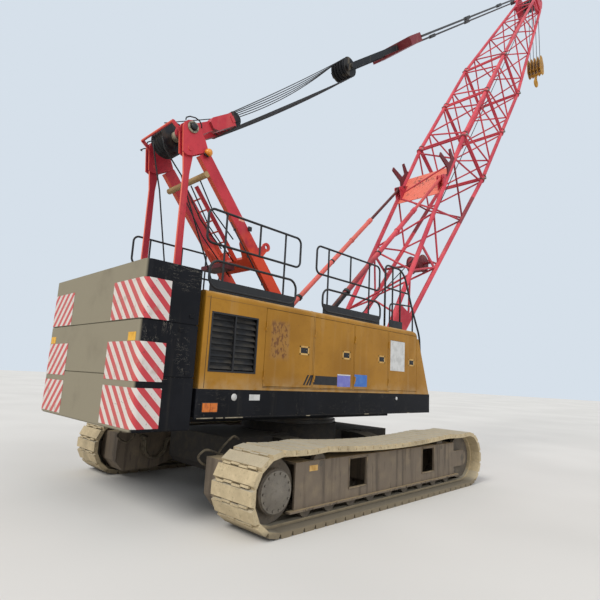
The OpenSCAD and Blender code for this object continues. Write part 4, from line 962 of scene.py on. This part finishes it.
PIN = [(-0.125, 0), (-0.125, 0.036), (-0.112, 0.042), (0.112, 0.042), (0.125, 0.036), (0.125, 0)]
pins = Piece("boom_section_pins", "boom", "dark_red", "steel")
for u in (9.15, 12.2, 15.25):
    for v in (-BOOM_HALF_D, BOOM_HALF_D):
        for y in (-BOOM_HALF_W, BOOM_HALF_W):
            pins.lathe(PIN, boom_pt(u, v, y), (0, 1, 0), 20, 1)
            for du in (-0.11, 0.11):
                pins.lathe(disc(0.088, -0.03, 0.03), boom_pt(u + du, v, y), ALONG, 24)
pins.make()

STOP_DIR = Vector((0.7125563, 0, 0.70161494))
STOP_FOOT = Vector((-0.18, 0, 2.86))
# just under the tube's outer face
BAND_IN = 0.058
bands = Piece("backstop_bands", "backstop_tubes", "rail", "steel")
for y in (-0.72, 0.72):
    for s, long, r in ((0.55, 0.05, 0.068), (1.38, 0.07, 0.082), (3.0, 0.05, 0.068)):
        bands.lathe([(0, BAND_IN), (0, r), (long, r), (long, BAND_IN), (0, BAND_IN)],
                    place(STOP_FOOT, STOP_DIR, s, 0, y), STOP_DIR, 28)
bands.make()

plate = Piece("boom_foot_plates", "boom", "strut_red")
for side in (-1, 1):
    corners = [boom_pt(u, v) for u, v in ((1.0, 0.22), (2.1, 0.28), (2.22, -0.29), (1.0, -0.22))]
    plate.prism([(p.x, p.z) for p in corners], side * 0.832, side * 0.846)
plate.make()

# Hook block: bolts of its cheeks

HOOK_X, HOOK_Z = boom_pt(24.25, -0.12).x + 0.3225, 17.25
hook = Piece("hook_block_fittings", "hook", "rail", "steel")
for side in (-1, 1):
    for dx in (-0.16, 0.16):
        for dz in (0.72, 1.02):
            hook.bolt((HOOK_X + dx, side * 0.312, HOOK_Z + dz), (0, side, 0), 0.014, 0.012, 1)
hook.make()

# Tracks: worn pads that fill the middle of the gaps between shoes

HALF_BASE, TRACK_R, SHOE_T, N_SHOE, TRACK_Y, SHOE_GAP = 2.64, 0.525, 0.055, 64, 2.23, 0.021
PATH_R = TRACK_R - SHOE_T
LOOP_L = 4 * HALF_BASE + 2 * math.pi * PATH_R
# half the stretch that sags between the carrier rollers, and how deep it and the end stretches sag
SAG_X, SAG_MIDDLE, SAG_END = 1.75, 0.07, 0.022
PAD_LOW, PAD_HALF, PAD_SHIFT = 0.022, SHOE_GAP - 0.007, 0.008
PAD_ROWS = ((-0.32, -0.17), (-0.165, -0.005), (0.005, 0.165), (0.17, 0.32))


def top_drop(x):
    """How far the upper run sags."""
    if abs(x) < SAG_X:
        return SAG_MIDDLE * (1 - (x / SAG_X) ** 2)
    return SAG_END * 4 * (abs(x) - SAG_X) * (HALF_BASE - abs(x)) / (HALF_BASE - SAG_X) ** 2


def loop_pt(s):
    """X and Z of the loop's inner line, from the rear of its lower run."""
    # the upper run and the rear turn are the lower run and the front turn, turned over
    way = 1 if s % LOOP_L < LOOP_L / 2 else -1
    s %= LOOP_L / 2
    turned = max(0.0, s - 2 * HALF_BASE) / PATH_R
    x = way * (min(s, 2 * HALF_BASE) - HALF_BASE + PATH_R * math.sin(turned))
    drop = top_drop(x) if way < 0 and turned == 0 else 0
    return Vector((x, TRACK_R - way * PATH_R * math.cos(turned) - drop))


for side, name in ((-1, "right"), (1, "left")):
    pads = Piece(f"{name}_track_pads", "undercarriage", "track")
    for i in range(N_SHOE):
        a, b, c = [loop_pt((i + k) * LOOP_L / N_SHOE) for k in range(3)]
        u = (c - a).normalized()
        n = Vector((u.y, -u.x))
        # teeth of neighbouring shoes that reach into the gap from either side in turn
        for j, (y0, y1) in enumerate(PAD_ROWS):
            shift = PAD_SHIFT if j % 2 else -PAD_SHIFT
            low, high = n * PAD_LOW, n * (SHOE_T - 0.003)
            start, end = b + u * (shift - PAD_HALF), b + u * (shift + PAD_HALF)
            pads.prism([start + low, end + low, end + high, start + high],
                       side * TRACK_Y + y0, side * TRACK_Y + y1)
    pads.make()

# Side frames: bolts, blank plate, window edges, hub covers

FLANGE_Y, FRAME_Y, HUB_Y = 2.51, 2.46, 2.499
for side, name in ((-1, "right"), (1, "left")):
    trim = Piece(f"{name}_frame_fittings", "undercarriage", "frame", "pale_ochre", "steel", "hub", "mark")
    y, out = side * FRAME_Y, (0, side, 0)
    trim.box((-1.99, y, 0.705), (-1.82, y + side * 0.004, 0.78), 1)
    for k in range(9):
        for dx in (-0.07, 0.07):
            trim.bolt((-2.0 + 0.5 * k + dx, side * FLANGE_Y, 0.2275), out, 0.013, 0.01)
    for x in (-0.885, 1.245):
        corners = at_y(y, ((x - 0.225, 0.37), (x + 0.225, 0.37), (x + 0.225, 0.81), (x - 0.225, 0.81)))
        for ends in zip(corners, corners[1:] + corners[:1]):
            trim.tube(ends, 0.012, 8)
    hub = Vector((-HALF_BASE, side * HUB_Y, TRACK_R))
    trim.lathe([(0, 0), (0, 0.262), (0.01, 0.262), (0.016, 0.254), (0.016, 0.2), (0.034, 0.19), (0.038, 0.12),
                (0.052, 0.11), (0.054, 0)], hub, out, 40, 3)
    for k in range(14):
        spot = hub + 0.228 * xz(2 * math.pi * k / 14) + Vector((0, side * 0.016, 0))
        trim.bolt(spot, out, 0.012, 0.012, 3)
    trim.make()

hose = Piece("travel_hose_loops", "undercarriage", "hose", "rail")
outline = ((-2.3, 1.0), (-2.4, 1.065), (-2.64, 0.875), (-2.72, 0.71), (-2.82, 0.65), (-2.96, 0.72),
           (-3.02, 0.8), (-2.9, 0.9), (-2.42, 0.74))
for side in (-1, 1):
    hose.tube(smooth_path(at_y(side * 1.27, outline), 0.08), 0.017, 8)
hose.make()

# Cab: seat with its base and consoles

CAB_FLOOR = 1.5
seat = Piece("cab_seat_base", "upperworks", "plastic", "rail", "steel")
seat.box((1.7, 1.2, CAB_FLOOR), (2.05, 1.6, 1.86), 0, 0.02)
seat.box((1.66, 1.17, 1.855), (2.11, 1.63, 1.885), 1, 0.008)
for y in (1.08, 1.63):
    seat.box((1.72, y, CAB_FLOOR), (2.28, y + 0.09, 2.1), 0, 0.02)
    seat.box((1.74, y + 0.005, 2.1), (2.06, y + 0.085, 2.145), 1, 0.015)
    seat.tube([(2.19, y + 0.045, 2.1), (2.2, y + 0.045, 2.24)], 0.011, 10, 2)
    seat.lathe([(0, 0), (0, 0.02), (0.03, 0.026), (0.06, 0.02), (0.068, 0)], (2.2, y + 0.045, 2.235),
               (0, 0, 1), 16, 1)
seat.box((2.86, 1.13, CAB_FLOOR), (2.99, 1.67, 1.98), 0, 0.03)
for y in (1.25, 1.4, 1.55):
    seat.box((2.84, y - 0.05, 1.93), (2.862, y + 0.05, 1.985), 1, 0.006)
for y in (1.31, 1.49):
    seat.box((2.62, y - 0.05, 1.505), (2.74, y + 0.05, 1.54), 1, 0.01)
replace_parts(seat.make(), "cab_seat")


def bake_down(obj):
    """Applies an object's modifiers to its mesh."""
    graph = bpy.context.evaluated_depsgraph_get()
    done = bpy.data.meshes.new_from_object(obj.evaluated_get(graph))
    obj.modifiers.clear()
    obj.data = done


def inflate(obj, grow, frames=20):
    """Blows a closed form up by cloth pressure, by grow at most."""
    cloth = obj.modifiers.new("air", "CLOTH")
    cloth.settings.use_pressure = True
    cloth.settings.uniform_pressure_force = 4
    cloth.settings.effector_weights.gravity = 0
    rest = [v.co.copy() for v in obj.data.vertices]
    for f in range(1, frames + 1):
        scene.frame_set(f)
    bake_down(obj)
    for v, r in zip(obj.data.vertices, rest):
        move = v.co - r
        if move.length > grow:
            v.co = r + move.normalized() * grow
    scene.frame_set(1)


def cushion(name, centre, size, tilt, seams, grow=0.012):
    """A crowned cushion: inflated from a slim closed form, then seamed, in the seat's own tilt."""
    bm = bmesh.new()
    bmesh.ops.create_cube(bm, size=1.0, matrix=Matrix.Diagonal((*[v - 2 * grow for v in size], 1)))
    bmesh.ops.bevel(bm, geom=list(bm.edges), offset=min(size) * 0.32, segments=4, affect="EDGES", profile=0.5)
    obj = mesh_object(name, bm)
    mod = obj.modifiers.new("even", "REMESH")
    mod.mode = "VOXEL"
    mod.voxel_size = 0.008
    bake_down(obj)
    inflate(obj, grow)
    for v in obj.data.vertices:
        # sides pull in between the corners, the top is crowned, and seams cross it
        fx, fy = 2 * abs(v.co.x) / size[0], 2 * abs(v.co.y) / size[1]
        v.co.x *= 1 - 0.045 * max(0.0, 1 - fy * fy)
        v.co.y *= 1 - 0.035 * max(0.0, 1 - fx * fx)
        if v.co.z > 0:
            v.co.z *= 1 - 0.2 * (fx ** 3 + fy ** 3) / 2
            for s in seams:
                v.co.z -= 0.01 * math.exp(-((v.co.y - s) / 0.008) ** 2)
    obj.data.transform(Matrix.Translation(centre) @ Matrix.Rotation(tilt, 4, "Y"))
    obj.data.materials.clear()
    obj.data.materials.append(M["cloth"])
    obj.data.shade_smooth()
    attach(obj, "upperworks")
    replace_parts(obj, "cab_seat")


cushion("cab_seat_cushion", Vector((1.875, 1.4, 1.94)), (0.46, 0.42, 0.105), 0.0, (-0.11, 0.11))
cushion("cab_seat_back", Vector((1.645, 1.4, 2.3)), (0.6, 0.4, 0.105), math.radians(-77), (-0.1, 0.1))

# Cab: seals, wiper, mirror, lamps, grab rail, door seal

cab = Piece("cab_fittings", "upperworks", "rail", "steel", "amber_ball", "plastic", "glass")
for x0, x1, z0, z1 in rim(1.55, 2.63, 2.35, 3.11):
    cab.box((x0, 0.926, z0), (x1, 0.934, z1), 0, 0.002)
for y0, y1, z0, z1 in rim(1.08, 1.72, 2.4, 3.09):
    cab.box((1.346, y0, z0), (1.354, y1, z1), 0, 0.002)
cab.tube([(3.17, 1.4, 2.28), (3.1, 1.46, 2.7)], 0.008, 8)
cab.tube([(3.105, 1.25, 2.58), (3.02, 1.62, 2.98)], 0.01, 8)
cab.tube([(3.2, 1.86, 2.3), (3.26, 1.98, 2.34), (3.26, 1.98, 2.8)], 0.012, 8)
cab.box((3.235, 1.91, 2.62), (3.262, 2.05, 2.92), 0, 0.008)
for y in (1.05, 1.75):
    cab.box((3.02, y - 0.06, 3.262), (3.1, y + 0.06, 3.34), 0, 0.01)
    cab.box((3.1, y - 0.05, 3.272), (3.104, y + 0.05, 3.33), 1, 0.001)
grab = [(1.45, y, z) for y, z in ((1.9, 2.2), (1.93, 2.25), (1.93, 3.0), (1.9, 3.05))]
cab.tube(smooth_path(grab, 0.04), 0.014)
cab.make()
door = Piece("cab_door_fittings", "cab_door", "rail", "steel")
for x0, x1, z0, z1 in rim(1.83, 2.59, 2.24, 3.02):
    door.box((x0, 1.866, z0), (x1, 1.874, z1), 0, 0.002)
door.make()

# Floor

FLOOR_HALF = 150
floor = bpy.data.meshes.new("floor")
floor.from_pydata([(x * FLOOR_HALF, y * FLOOR_HALF, 0) for x, y in ((-1, -1), (1, -1), (1, 1), (-1, 1))],
                  [], [(0, 1, 2, 3)])
ground = add("floor", floor)
pale = Surface("floor_pale", (214, 212, 208), 0.9)
pale.layer((206, 204, 200), None, pale.spots(0.2, 2, 0.3, 0.7))
floor.materials.append(pale.done())

# Light: a soft sky that is seen as a pale backdrop, and two suns

world = bpy.data.worlds.new("studio")
scene.world = world
world.use_nodes = True
nodes, links = world.node_tree.nodes, world.node_tree.links
nodes.clear()


def sky(colour, strength):
    node = nodes.new("ShaderNodeBackground")
    node.inputs[0].default_value = colour
    node.inputs[1].default_value = strength
    return node.outputs[0]


def larger(a, b):
    node = nodes.new("ShaderNodeMath")
    node.operation = "MAXIMUM"
    links.new(a, node.inputs[0])
    links.new(b, node.inputs[1])
    return node.outputs[0]


rays = nodes.new("ShaderNodeLightPath").outputs
shown = larger(rays["Is Camera Ray"], larger(rays["Is Glossy Ray"], rays["Is Transmission Ray"]))
both = nodes.new("ShaderNodeMixShader")
for k, source in enumerate((shown, sky((0.93, 0.96, 1.0, 1), 0.62), sky(rgb(214, 224, 234), 1.0))):
    links.new(source, both.inputs[k])
links.new(both.outputs[0], nodes.new("ShaderNodeOutputWorld").inputs[0])


def sun(name, strength, direction, size, colour):
    data = bpy.data.lights.new(name, "SUN")
    data.energy = strength
    data.angle = math.radians(size)
    data.color = colour
    add(name, data).rotation_euler = Vector(direction).to_track_quat("-Z", "Y").to_euler()


sun("key", 1.9, (0.75, 0.1, -0.75), 24, (1.0, 0.97, 0.92))
sun("fill", 0.9, (0.1, 0.9, -0.5), 40, (0.95, 0.97, 1.0))

# Camera at the photo's place and angle

CAM_AT = Vector((-6.936, -7.003, 1.952))
YAW, PITCH, ROLL = 44.7, 9.55, 2.98
FOCAL_PX, WIDTH_PX, SENSOR = 467, 600, 36.0
lens = bpy.data.cameras.new("camera")
lens.sensor_width = SENSOR
lens.lens = SENSOR * FOCAL_PX / WIDTH_PX
lens.clip_end = 1000
camera = add("camera", lens)
camera.matrix_world = Matrix.Translation(CAM_AT)
for degrees, axis in ((YAW - 90, "Z"), (PITCH + 90, "X"), (ROLL, "Z")):
    camera.matrix_world = camera.matrix_world @ Matrix.Rotation(math.radians(degrees), 4, axis)
scene.camera = camera
scene.view_settings.view_transform = "Standard"
